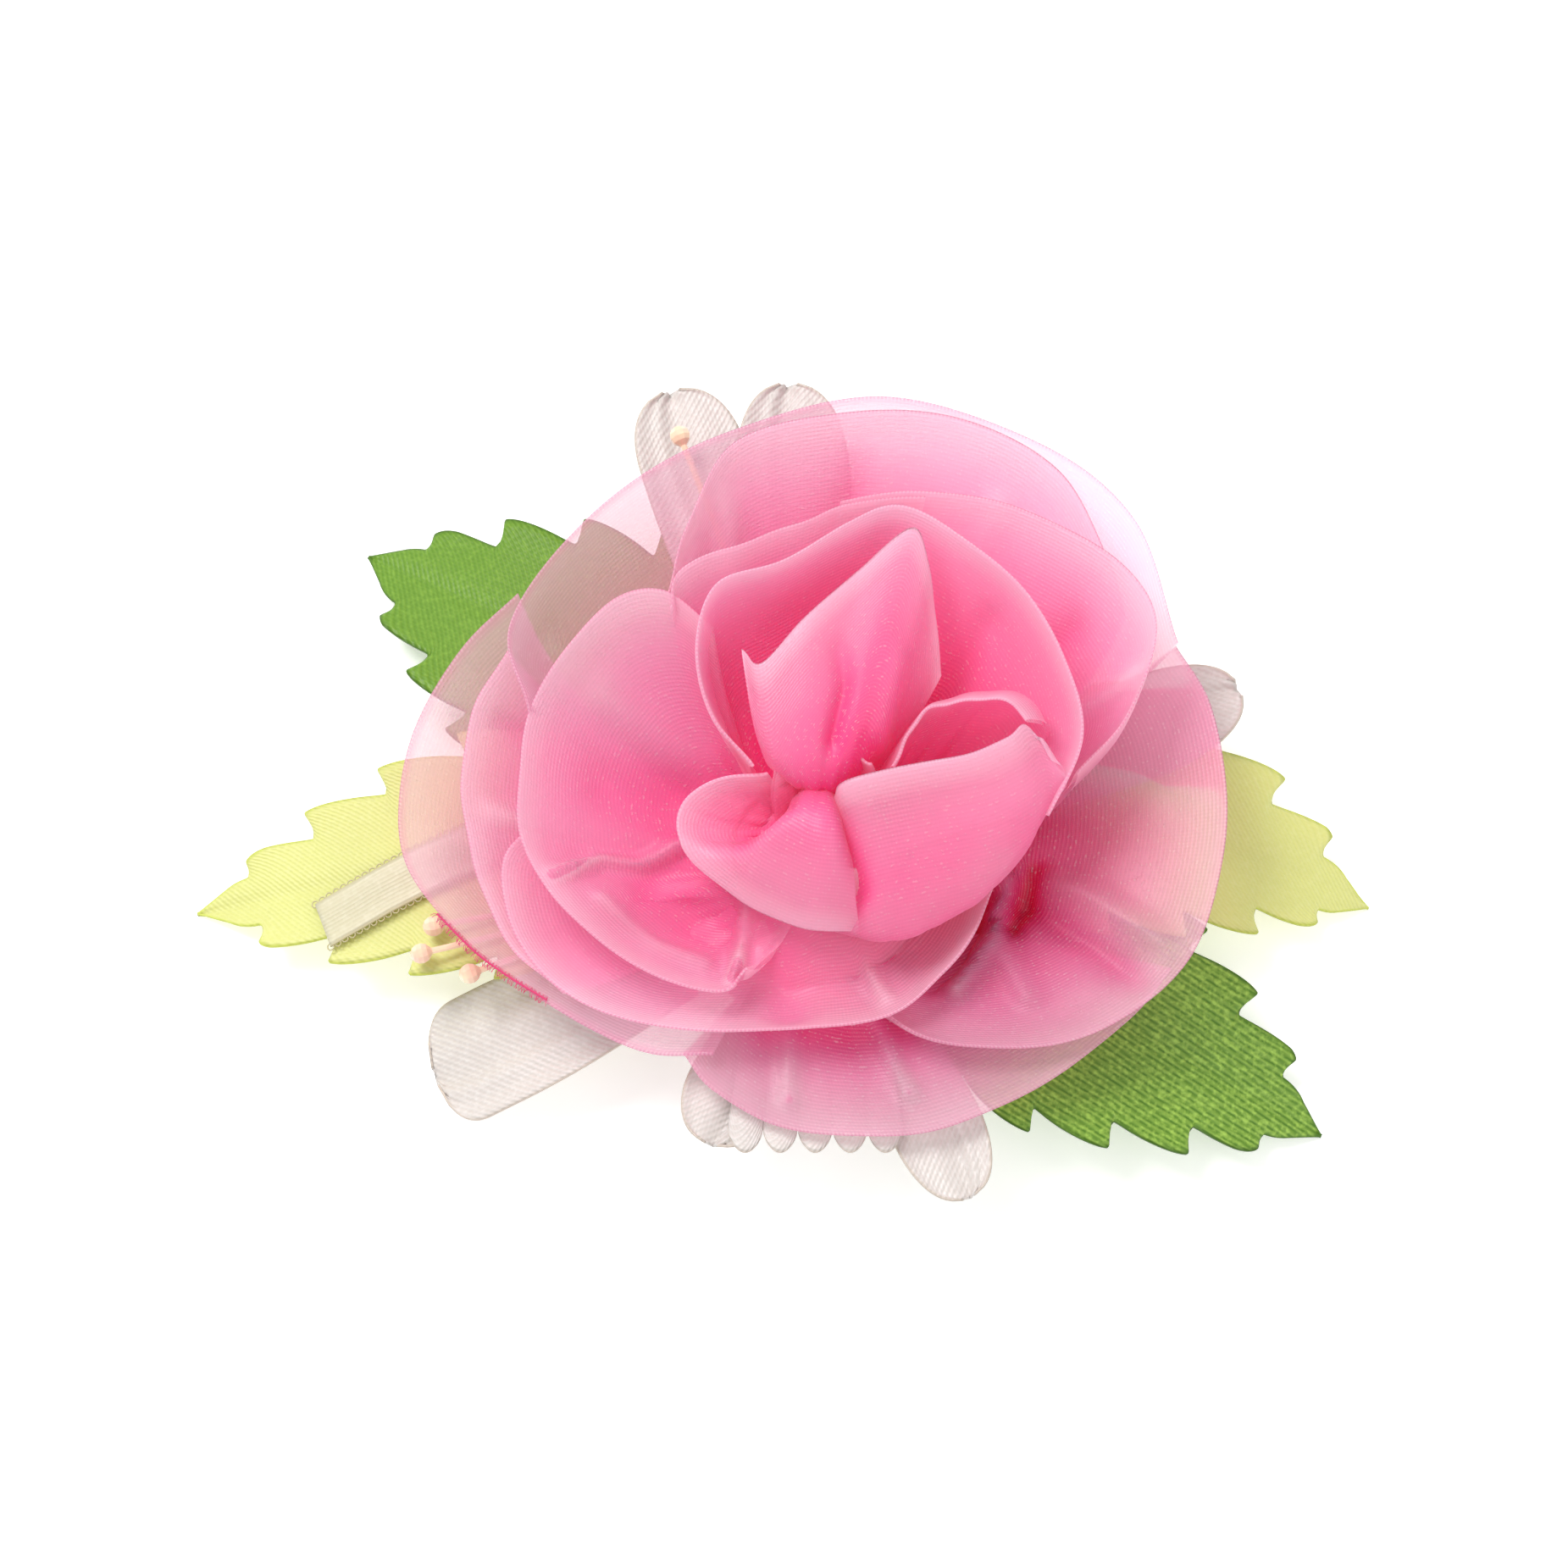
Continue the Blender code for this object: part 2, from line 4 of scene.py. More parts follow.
import bmesh
import bpy
import numpy as np
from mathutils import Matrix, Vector

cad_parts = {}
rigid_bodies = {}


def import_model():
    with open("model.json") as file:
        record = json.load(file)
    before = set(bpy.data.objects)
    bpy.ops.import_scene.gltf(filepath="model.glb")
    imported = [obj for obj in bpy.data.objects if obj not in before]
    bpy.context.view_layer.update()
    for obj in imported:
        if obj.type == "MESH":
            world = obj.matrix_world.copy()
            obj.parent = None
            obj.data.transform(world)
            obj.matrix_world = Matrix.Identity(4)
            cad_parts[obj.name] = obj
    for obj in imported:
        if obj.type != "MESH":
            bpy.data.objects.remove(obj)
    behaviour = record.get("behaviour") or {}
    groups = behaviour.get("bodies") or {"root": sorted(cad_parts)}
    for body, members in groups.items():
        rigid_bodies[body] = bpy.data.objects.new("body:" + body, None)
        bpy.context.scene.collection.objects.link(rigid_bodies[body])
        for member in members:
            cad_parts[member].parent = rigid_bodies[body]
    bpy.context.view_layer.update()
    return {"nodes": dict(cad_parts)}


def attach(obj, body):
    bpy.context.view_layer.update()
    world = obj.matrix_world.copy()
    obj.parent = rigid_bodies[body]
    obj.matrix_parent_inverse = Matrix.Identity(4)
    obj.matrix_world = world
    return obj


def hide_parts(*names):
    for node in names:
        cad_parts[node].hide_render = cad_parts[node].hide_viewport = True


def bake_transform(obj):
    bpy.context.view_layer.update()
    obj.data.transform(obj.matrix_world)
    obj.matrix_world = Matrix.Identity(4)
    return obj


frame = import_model()

MM = 0.001

# ---- sizes shared with the frame, in millimetres -----------------------------------------------
SEAT_TOP = 6.3               # height of the rim of the stiff seat that the petals are gathered onto
SEAT_CONE = 13.0             # how far the seat rises above its rim towards its middle
SEAT_RADIUS = 18.0
SEAT_LIFT = 0.6              # least gap between the seat and the middle of a petal's thickness
LEAF_LOW, LEAF_HIGH = 2.85, 3.65
CREAM_LOW, CREAM_HIGH = 4.45, 5.25
LEAF_REST = -8.15            # middle of a leaf where its tip comes down to the table
TABLE = -8.4

# ---- finishes of cloth, in millimetres ----------------------------------------------------------
WARP, WEFT = 0.42, 0.5       # thread spacing of organza, coarser than real so that it shows
THREAD_WANDER = 0.6          # how far an organza thread strays from straight
LEAF_WALL, CREAM_WALL, RIBBON_WALL = 0.35, 0.3, 0.25


# ---- materials ---------------------------------------------------------------------------------
MATH, NOISE, RAMP, MIX = "ShaderNodeMath", "ShaderNodeTexNoise", "ShaderNodeValToRGB", "ShaderNodeMix"


def colour(code):
    """An sRGB hex colour as linear values."""
    parts = [int(code[k:k + 2], 16) / 255 for k in (1, 3, 5)]
    linear = [p / 12.92 if p <= 0.04045 else ((p + 0.055) / 1.055) ** 2.4 for p in parts]
    return (*linear, 1.0)


def per_mm(size):
    """A texture's scale for features this many millimetres apart."""
    return 1 / (size * MM)


def new_material(name):
    made = bpy.data.materials.new(name)
    made.use_nodes = True
    made.node_tree.nodes.clear()
    return made, made.node_tree


def node(tree, kind, sockets=(), stops=(), **settings):
    """Adds a node. sockets says what goes into each of its sockets, in order or by name: a value,
    another node, or one output of it. stops are a ramp's places, each with a hex colour or a grey."""
    made = tree.nodes.new(kind)
    for name, value in settings.items():
        setattr(made, name, value)
    named = sockets if isinstance(sockets, dict) else dict(enumerate(sockets))
    for socket, given in named.items():
        if isinstance(given, bpy.types.Node):
            given = given.outputs[0]
        if isinstance(given, bpy.types.NodeSocket):
            tree.links.new(given, made.inputs[socket])
        else:
            made.inputs[socket].default_value = given
    while stops and len(made.color_ramp.elements) < len(stops):
        made.color_ramp.elements.new(0.5)
    for number, (place, shade) in enumerate(stops):
        point = made.color_ramp.elements[number]
        point.position = place
        point.color = colour(shade) if isinstance(shade, str) else (shade, shade, shade, 1.0)
    return made


def threads(tree, coordinate, pitch, wobble, wander):
    """Rows of thread across a coordinate in metres, 0 in the gaps and 1 on the threads."""
    moved = node(tree, MATH, (wander, wobble * MM, coordinate), operation="MULTIPLY_ADD")
    phase = node(tree, MATH, (moved, 2 * math.pi / (pitch * MM)), operation="MULTIPLY")
    wave = node(tree, MATH, (phase,), operation="SINE")
    return node(tree, MATH, (wave, 0.5, 0.5), operation="MULTIPLY_ADD")


def organza(name, tints, covers, reach, painted_thread_sheen=0.2):
    """Polyamide organza, plain woven from bright monofilament: sheer, glossy on the threads, deeper in
    colour where it is gathered. A sinking crease gets painted shade and its crest painted highlight. tints
    and covers run from the fold to reach millimetres below it. The eye sees fine glossy lines one way,
    faint ones the other; their lighter colour, the glints and the bright dashes along the fold are painted
    highlight."""
    made, tree = new_material(name)
    place = node(tree, "ShaderNodeUVMap", uv_map="cloth")
    split = node(tree, "ShaderNodeSeparateXYZ", (place,))
    spot = node(tree, "ShaderNodeTexCoord").outputs["Object"]
    wander = node(tree, NOISE, {"Vector": spot, "Scale": per_mm(16.67), "Detail": 2.0})
    warp = threads(tree, split.outputs[0], WARP, THREAD_WANDER, wander)
    weft = threads(tree, split.outputs[1], WEFT, THREAD_WANDER, wander)
    faint = node(tree, MATH, (warp, 0.2), operation="MULTIPLY")
    weave = node(tree, MATH, (weft, 0.8, faint), operation="MULTIPLY_ADD")
    # the lines come and go where the two layers of the fold fall in and out of step
    beat = node(tree, NOISE, {"Vector": spot, "Scale": per_mm(14.29), "Detail": 1.0})
    step = node(tree, RAMP, (beat,), ((0.42, 0.25), (0.62, 1.0)))
    centred = node(tree, MATH, (weave, 0.5), operation="SUBTRACT")
    lines = node(tree, MATH, (centred, step), operation="MULTIPLY")
    # how far below the fold, with an uneven drift, then painted shade where a crease sinks and painted
    # highlight on its crest
    depth = node(tree, MATH, (split.outputs[1],), operation="ABSOLUTE")
    below = node(tree, MATH, (depth, 1 / (reach * MM)), operation="MULTIPLY")
    cloud = node(tree, NOISE, {"Vector": spot, "Scale": per_mm(18.18), "Detail": 3.0})
    uneven = node(tree, MATH, (cloud, 0.5), operation="SUBTRACT")
    swing = node(tree, MATH, (below, 0.6), operation="MULTIPLY")
    drifted = node(tree, MATH, (uneven, swing, below), operation="MULTIPLY_ADD")
    # the edge attribute here is the creases' painted shade, and painted highlight where it is negative
    painted_crease_shading = node(tree, "ShaderNodeAttribute", attribute_name="edge").outputs["Fac"]
    gathered = node(tree, MATH, (drifted, painted_crease_shading), operation="ADD", use_clamp=True)
    tint = node(tree, RAMP, (gathered,), [(at / reach, code) for at, code in tints])
    cover = node(tree, RAMP, (gathered,), [(at / reach, share) for at, share in covers])
    # painted highlight: glints where a thread turns its bright side, and short bright dashes like stitches
    # along the fold
    painted_glint_noise = node(tree, NOISE, {"Vector": spot, "Scale": per_mm(0.4545), "Detail": 1.0})
    painted_glint = node(tree, RAMP, (painted_glint_noise,), ((0.6, 0.0), (0.68, 1.0)))
    fold = node(tree, RAMP, (below,), ((0.1 / reach, 1.0), (0.55 / reach, 0.0)))
    painted_fold_highlight = node(tree, MATH, (fold, warp), operation="MULTIPLY")
    painted_fold_highlight = node(tree, MATH, (painted_fold_highlight, 0.45), operation="MULTIPLY")
    painted_glint_on_threads = node(tree, MATH, (painted_glint, weft), operation="MULTIPLY")
    bright = node(tree, MATH, (painted_glint_on_threads, 0.4, painted_fold_highlight), operation="MULTIPLY_ADD", use_clamp=True)
    bright = node(tree, MATH, (lines, painted_thread_sheen, bright), operation="MULTIPLY_ADD", use_clamp=True)
    # the colour is lightened towards pale pink by the painted glints, the painted fold highlight and the
    # painted sheen on the threads
    tint_with_painted_highlight = node(tree, MIX, {0: bright, 6: tint, 7: colour("#ffe6f0")}, data_type="RGBA").outputs[2]
    height = node(tree, MATH, (lines, painted_glint), operation="ADD")
    bump = node(tree, "ShaderNodeBump", {"Height": height, "Strength": 0.4, "Distance": 0.12 * MM})
    body = node(tree, "ShaderNodeBsdfPrincipled", {
        "Base Color": tint_with_painted_highlight, "Normal": bump, "Roughness": 0.36, "IOR": 1.5, "Specular IOR Level": 0.6,
        "Sheen Weight": 0.7, "Sheen Roughness": 0.3, "Sheen Tint": colour("#ffdcea")})
    through = node(tree, "ShaderNodeBsdfTranslucent", {"Color": tint_with_painted_highlight, "Normal": bump})
    cloth = node(tree, "ShaderNodeMixShader", (0.4, body, through))
    clear = node(tree, "ShaderNodeBsdfTransparent", {"Color": (1.0, 1.0, 1.0, 1.0)})
    woven = node(tree, MATH, (lines, 0.16, cover), operation="MULTIPLY_ADD", use_clamp=True)
    mixed = node(tree, "ShaderNodeMixShader", (woven, clear, cloth))
    node(tree, "ShaderNodeOutputMaterial", (mixed,))
    return made


def satin(name, main, light, edge, twill=0.7, slope=1.0, rough=0.42, strength=0.35):
    """Woven polyester satin. The eye sees floats at a slant in fine ribs, twill millimetres apart, that
    catch the light, and a line of edge colour where the cloth is cut. The ribs' lighter colour and the
    specks over them are painted sheen and painted glints."""
    made, tree = new_material(name)
    place = node(tree, "ShaderNodeUVMap", uv_map="cloth")
    split = node(tree, "ShaderNodeSeparateXYZ", (place,))
    spot = node(tree, "ShaderNodeTexCoord").outputs["Object"]
    wander = node(tree, NOISE, {"Vector": spot, "Scale": per_mm(7.143), "Detail": 2.0})
    slant = node(tree, MATH, (split.outputs[0], slope, split.outputs[1]), operation="MULTIPLY_ADD")
    ribs = threads(tree, slant, twill, 0.35, wander)
    cross = threads(tree, split.outputs[1], 0.45, 0.3, wander)
    # specks of painted glint over the ribs
    grain = node(tree, NOISE, {"Vector": spot, "Scale": per_mm(0.6667), "Detail": 2.0})
    painted_glint_specks = node(tree, RAMP, (grain,), ((0.45, 0.0), (0.72, 1.0)))
    faint = node(tree, MATH, (cross, 0.25), operation="MULTIPLY")
    weave = node(tree, MATH, (ribs, 0.75, faint), operation="MULTIPLY_ADD")
    weave_and_painted_glints = node(tree, MATH, (weave, painted_glint_specks), operation="ADD")
    # painted sheen: the ribs and the glint specks lighten the colour from main towards light
    painted_rib_sheen = node(tree, MATH, (weave_and_painted_glints, strength), operation="MULTIPLY", use_clamp=True)
    tint = node(tree, MIX, {0: painted_rib_sheen, 6: colour(main), 7: colour(light)}, data_type="RGBA").outputs[2]
    cloud = node(tree, NOISE, {"Vector": spot, "Scale": per_mm(16.67), "Detail": 3.0})
    tone = node(tree, RAMP, (cloud,), ((0.3, 0.9), (0.7, 1.0)))
    mellow = node(tree, MIX, {0: 0.7, 6: tint, 7: tone}, data_type="RGBA", blend_type="MULTIPLY").outputs[2]
    from_edge = node(tree, "ShaderNodeAttribute", attribute_name="edge").outputs["Fac"]
    near = node(tree, RAMP, (from_edge,), ((0.0, 1.0), (0.35, 0.0)))
    edged = node(tree, MIX, {0: near, 6: mellow, 7: colour(edge)}, data_type="RGBA").outputs[2]
    bump = node(tree, "ShaderNodeBump", {"Height": weave, "Strength": 0.5, "Distance": 0.15 * MM})
    body = node(tree, "ShaderNodeBsdfPrincipled", {
        "Base Color": edged, "Normal": bump, "Roughness": rough, "Specular IOR Level": 0.4,
        "Sheen Weight": 0.3, "Sheen Roughness": 0.35})
    passing = node(tree, "ShaderNodeBsdfTranslucent", {"Color": edged, "Normal": bump})
    cloth = node(tree, "ShaderNodeMixShader", (0.2, body, passing))
    node(tree, "ShaderNodeOutputMaterial", (cloth,))
    return made


def felt(name, main, fibre):
    """Pressed polyester felt. The eye sees matt, matted fibres and no weave."""
    made, tree = new_material(name)
    spot = node(tree, "ShaderNodeTexCoord").outputs["Object"]
    coarse = node(tree, NOISE, {"Vector": spot, "Scale": per_mm(1.111), "Detail": 5.0, "Roughness": 0.7})
    hair = node(tree, "ShaderNodeTexVoronoi", {"Vector": spot, "Scale": per_mm(0.7692)},
                feature="DISTANCE_TO_EDGE")
    matted = node(tree, MATH, (hair, 0.6, coarse), operation="MULTIPLY_ADD")
    tint = node(tree, RAMP, (matted,), ((0.35, main), (0.8, fibre)))
    bump = node(tree, "ShaderNodeBump", {"Height": matted, "Strength": 0.7, "Distance": 0.3 * MM})
    body = node(tree, "ShaderNodeBsdfPrincipled", {
        "Base Color": tint, "Normal": bump, "Roughness": 0.95, "Specular IOR Level": 0.2,
        "Sheen Weight": 0.5})
    node(tree, "ShaderNodeOutputMaterial", (body,))
    return made


def steel(name, main, dark, rough):
    """Nickel-plated pressed steel. The eye sees it bright, with fine rolling marks and darker rubs."""
    made, tree = new_material(name)
    spot = node(tree, "ShaderNodeTexCoord").outputs["Object"]
    stretch = node(tree, "ShaderNodeMapping", {"Vector": spot, "Scale": (0.05, 1.0, 1.0)})
    marks = node(tree, NOISE, {"Vector": stretch, "Scale": per_mm(0.4), "Detail": 3.0})
    cloud = node(tree, NOISE, {"Vector": spot, "Scale": per_mm(6.667), "Detail": 4.0})
    tint = node(tree, RAMP, (cloud,), ((0.3, dark), (0.65, main)))
    gloss = node(tree, RAMP, (marks,), ((0.3, rough - 0.08), (0.7, rough + 0.1)))
    bump = node(tree, "ShaderNodeBump", {"Height": marks, "Strength": 0.15, "Distance": 0.05 * MM})
    body = node(tree, "ShaderNodeBsdfPrincipled",
                {"Base Color": tint, "Roughness": gloss, "Normal": bump, "Metallic": 1.0})
    node(tree, "ShaderNodeOutputMaterial", (body,))
    return made


def pearl(name, main, blush):
    """Paper-paste stamen bead under pearl lacquer. The eye sees a soft cream gloss with a pink blush."""
    made, tree = new_material(name)
    spot = node(tree, "ShaderNodeTexCoord").outputs["Object"]
    cloud = node(tree, NOISE, {"Vector": spot, "Scale": per_mm(2.0), "Detail": 3.0})
    tint = node(tree, RAMP, (cloud,), ((0.35, main), (0.7, blush)))
    bump = node(tree, "ShaderNodeBump", {"Height": cloud, "Strength": 0.2, "Distance": 0.1 * MM})
    body = node(tree, "ShaderNodeBsdfPrincipled", {
        "Base Color": tint, "Normal": bump, "Roughness": 0.3, "Coat Weight": 0.6, "Coat Roughness": 0.2,
        "Sheen Weight": 0.3})
    node(tree, "ShaderNodeOutputMaterial", (body,))
    return made


ORGANZA_VEIL = organza(
    "organza_veil",
    [(0, "#e794b9"), (0.5, "#ebacc8"), (1.5, "#ecbfd3"), (6, "#ebb8cf"), (20, "#f09ec4"), (40, "#f26aa8")],
    [(0, 0.58), (0.5, 0.47), (1.5, 0.4), (8, 0.42), (22, 0.52), (40, 0.85)], 40, 0.12)
ORGANZA_OUTER = organza(
    "organza_outer",
    [(0, "#eb98bb"), (0.5, "#efb3cc"), (2, "#efb4cc"), (10, "#f08fbb"), (20, "#ee62a0"), (30, "#ee3380"),
     (40, "#ee1259")],
    [(0, 0.6), (0.5, 0.48), (2, 0.42), (10, 0.55), (22, 0.75), (32, 0.92), (40, 0.97)], 40)
ORGANZA = organza(
    "organza_pink",
    [(0, "#ef98bc"), (0.4, "#fbcfe2"), (2.2, "#fbcade"), (4.4, "#fbbad7"), (8, "#fba9d0"), (20, "#fb7fba"),
     (36, "#fb56a3")],
    [(0, 0.75), (0.4, 0.56), (2.2, 0.5), (4.4, 0.43), (10, 0.5), (22, 0.66), (36, 0.9)], 36)
ORGANZA_HEART = organza(
    "organza_pink_heart",
    [(0, "#f39fc4"), (0.3, "#fbcfe4"), (2.2, "#fbc3dc"), (4, "#fbafd2"), (7, "#fba2cb"), (14, "#fb82ba"),
     (24, "#fb559f")],
    [(0, 0.85), (0.3, 0.68), (2.2, 0.6), (4, 0.53), (9, 0.62), (16, 0.78), (24, 0.95)], 24)
LIME = satin("satin_lime", "#e0e18b", "#f0f0b4", "#ced75f", strength=0.2)
GREEN = satin("satin_green", "#659320", "#92bd43", "#4b7415", twill=0.8)
GREEN_TWILL = satin("satin_green_twill", "#507e19", "#a9cf58", "#456d14", twill=0.75, slope=0.12,
                    strength=0.6)
CREAM = satin("satin_cream", "#dcd4ce", "#efebe8", "#d6c9bd", twill=0.9, strength=0.4, rough=0.35)
RIBBON = satin("satin_ribbon_ivory", "#d9d2b1", "#ece7cf", "#cfc59a", twill=0.5, slope=0.0, rough=0.35)
FELT = felt("felt_white", "#d9d5cb", "#f4f2ec")
BUCKRAM = felt("buckram_deep_pink", "#e8407f", "#f06a9c")
STEEL = steel("steel_nickel_plated", "#d9dadd", "#a9aaae", 0.26)
PEARL = pearl("pearl_lacquer_cream", "#f0d9b4", "#e9b9a2")
THREAD = satin("thread_polyamide_deep_pink", "#e2487f", "#ee7aa4", "#e2487f", strength=0.2)


# ---- making pieces -----------------------------------------------------------------------------
def mesh_piece(name, points, faces, material, uvs=None, edge=None):
    """A smooth mesh from points in millimetres. uvs lay the cloth flat in millimetres, and edge is a
    value at each point that its material reads."""
    mesh = bpy.data.meshes.new(name)
    mesh.from_pydata([tuple(p) for p in np.asarray(points, float) * MM], [], faces)
    mesh.materials.append(material)
    mesh.shade_smooth()
    if uvs is not None:
        layer = mesh.uv_layers.new(name="cloth")
        spots = np.zeros(len(mesh.loops), int)
        mesh.loops.foreach_get("vertex_index", spots)
        layer.data.foreach_set("uv", (np.asarray(uvs, float) * MM)[spots].ravel())
    if edge is not None:
        attribute = mesh.attributes.new("edge", "FLOAT", "POINT")
        attribute.data.foreach_set("value", np.asarray(edge, float).ravel())
    made = bpy.data.objects.new(name, mesh)
    bpy.context.scene.collection.objects.link(made)
    return made


def normals_of(grid):
    along_u, along_v = np.gradient(grid, axis=0), np.gradient(grid, axis=1)
    normal = np.cross(along_u, along_v)
    return normal / np.maximum(np.linalg.norm(normal, axis=2, keepdims=True), 1e-9)


def grid_faces(columns, rows):
    corners = [(i * rows + j, (i + 1) * rows + j) for i in range(columns - 1) for j in range(rows - 1)]
    return [(a, b, b + 1, a + 1) for a, b in corners]


def grid_of(u_count, v_count, v_start=0):
    """Two grids of even parameters: u from 0 to 1 and v from v_start to 1."""
    return np.meshgrid(np.linspace(0, 1, u_count), np.linspace(v_start, 1, v_count), indexing="ij")


def smooth_through(points, share):
    """A smooth curve through points at even parameters. share is an array from 0 to 1."""
    points = np.asarray(points, float)
    count = len(points) - 1
    padded = np.vstack([2 * points[0] - points[1], points, 2 * points[-1] - points[-2]])
    place = np.clip(share * count, 0, count - 1e-9)
    k = place.astype(int)
    t = (place - k)[..., None]
    a, b, c, d = padded[k], padded[k + 1], padded[k + 2], padded[k + 3]
    square = 2 * a - 5 * b + 4 * c - d
    cube = 3 * b - a - 3 * c + d
    return 0.5 * (2 * b + (c - a) * t + square * t ** 2 + cube * t ** 3)


def flat_piece(name, grid, uv, edge, material, wall):
    """A single layer of cloth, wall millimetres thick."""
    faces = grid_faces(*grid.shape[:2])
    made = mesh_piece(name, grid.reshape(-1, 3), faces, material, uv.reshape(-1, 2), edge=edge)
    thick = made.modifiers.new("wall", "SOLIDIFY")
    thick.thickness = wall * MM
    thick.offset = 0.0
    return made


def straight_length(base, tip):
    return math.hypot(tip[0] - base[0], tip[1] - base[1])


# ---- rose --------------------------------------------------------------------------------------
GATHERS = 9                  # deep folds across the base of a petal
WAVES = 2.3                  # slow waves across its rim
PETAL_COLUMNS, PETAL_ROWS = 132, 40
FOLD_FROM = 0.97             # how far up the two layers start to close over the rim
SLACK = 0.25                 # how much further apart the two layers puff, in millimetres


def shaped_petal(stations):
    """A petal lofted through stations along its width, each with its base, belly and rim point."""
    base, belly, rim = ([s[k] for s in stations] for k in range(3))

    def at(u, v):
        low, middle, high = (smooth_through(line, u) for line in (base, belly, rim))
        v = v[..., None]
        return low * (1 - v) * (1 - 2 * v) + middle * 4 * v * (1 - v) + high * v * (2 * v - 1)

    return at


def from_segment(points, start, end):
    """How far points are from a line between two places on the plan."""
    start, run = np.array(start), np.subtract(end, start)
    along = np.clip(((points[..., :2] - start) @ run) / (run @ run), 0, 1)
    return np.linalg.norm(points[..., :2] - start - along[..., None] * run, axis=-1)


def gathers_and_waves(u, v, draw, gather_depth, wave):
    """How far each point leaves the petal's even surface: folds at its base, slow waves at its rim."""
    phases = draw.uniform(0, 2 * math.pi, 8)
    turn = 2 * math.pi * u
    folds = (np.sin(GATHERS * turn + phases[0] + 1.2 * np.sin(1.3 * turn + phases[1]))
             + 0.5 * np.sin(1.7 * GATHERS * turn + phases[2]))
    swell = np.sin(WAVES * turn + phases[3]) + 0.45 * np.sin(2.1 * WAVES * turn + phases[4])
    side = np.sin(math.pi * u) ** 0.3
    low = (1 - v) ** 3
    puff = np.sin(3.1 * turn + phases[5]) * np.sin(2 * math.pi * 1.4 * v + phases[6])
    gathered = gather_depth * folds * low * side * np.minimum(1, v * 6 + 0.2)
    return gathered + wave * swell * v ** 1.4 * side, np.abs(SLACK * puff) * (1 - v) ** 0.6


def creased(middle, v, creases):
    """How high each crease lifts the cloth, and how much painted shade deepens its colour there; a negative
    depth is painted highlight that lightens it.
    """
    lift, painted_shading = np.zeros_like(v), np.zeros_like(v)
    for path, width, height, depth in creases:
        near = np.min([from_segment(middle, a, b) for a, b in zip(path, path[1:])], axis=0)
        strength = np.exp(-(near / width) ** 2) * np.clip(4 * (1 - v), 0, 1)
        lift += height * strength
        painted_shading += depth * strength
    return lift, painted_shading


def kept_above_seat(middle):
    reach = np.linalg.norm(middle[..., :2], axis=-1)
    seat = SEAT_TOP + SEAT_CONE * (1 - reach / SEAT_RADIUS) + SEAT_LIFT
    return np.where(reach < SEAT_RADIUS, np.maximum(middle[..., 2], seat), middle[..., 2])


def organza_piece(name, at, material, creases=(), gather_depth=0.22, wave=0.3, gap=0.4, seed=0):
    """A petal of organza folded double over its rim and gathered at its base. A crease is a path over
    its plan, a width, a height and a depth of painted shade, painted highlight where that depth is negative."""
    # the rows crowd towards the fold, where the cloth turns back
    climb = 1 - (1 - np.linspace(0, 1, PETAL_ROWS)) ** 1.35
    u, v = np.meshgrid(np.linspace(0, 1, PETAL_COLUMNS), climb, indexing="ij")
    middle = at(u, v)
    normal = normals_of(middle)
    shift, slack = gathers_and_waves(u, v, np.random.default_rng(100 + seed), gather_depth, wave)
    lift, painted_shading = creased(middle, v, creases)
    upward = np.sign(normal[..., 2:].mean())
    middle = middle + normal * (shift + upward * lift)[..., None]
    middle[..., 2] = kept_above_seat(middle)
    normal = normals_of(middle)
    closing = np.clip((v - FOLD_FROM) / (1 - FOLD_FROM), 0, 1)
    thick = (gap / 2 + slack) * np.sqrt(np.clip(1 - closing ** 2, 0, 1))
    front = middle + normal * thick[..., None]
    back = middle - normal * thick[..., None]
    sheet = np.concatenate([front, back[:, -2::-1]], axis=1)
    # the cloth laid flat, measured from the fold
    climbs = np.linalg.norm(np.diff(sheet, axis=1), axis=2)
    steps = np.linalg.norm(np.diff(middle[:, PETAL_ROWS * 2 // 3], axis=0), axis=1)
    x = np.concatenate([[0], np.cumsum(steps)])
    x = np.repeat((x - x.mean())[:, None], sheet.shape[1], axis=1)
    y = np.concatenate([np.zeros((PETAL_COLUMNS, 1)), np.cumsum(climbs, axis=1)], axis=1)
    y -= y[:, PETAL_ROWS - 1:PETAL_ROWS]
    # the edge attribute carries the creases' painted shade and painted highlight to the material
    return mesh_piece(name, sheet.reshape(-1, 3), grid_faces(*sheet.shape[:2]), material,
                      np.stack([x, y], axis=-1).reshape(-1, 2),
                      edge=np.concatenate([painted_shading, painted_shading[:, -2::-1]], axis=1))


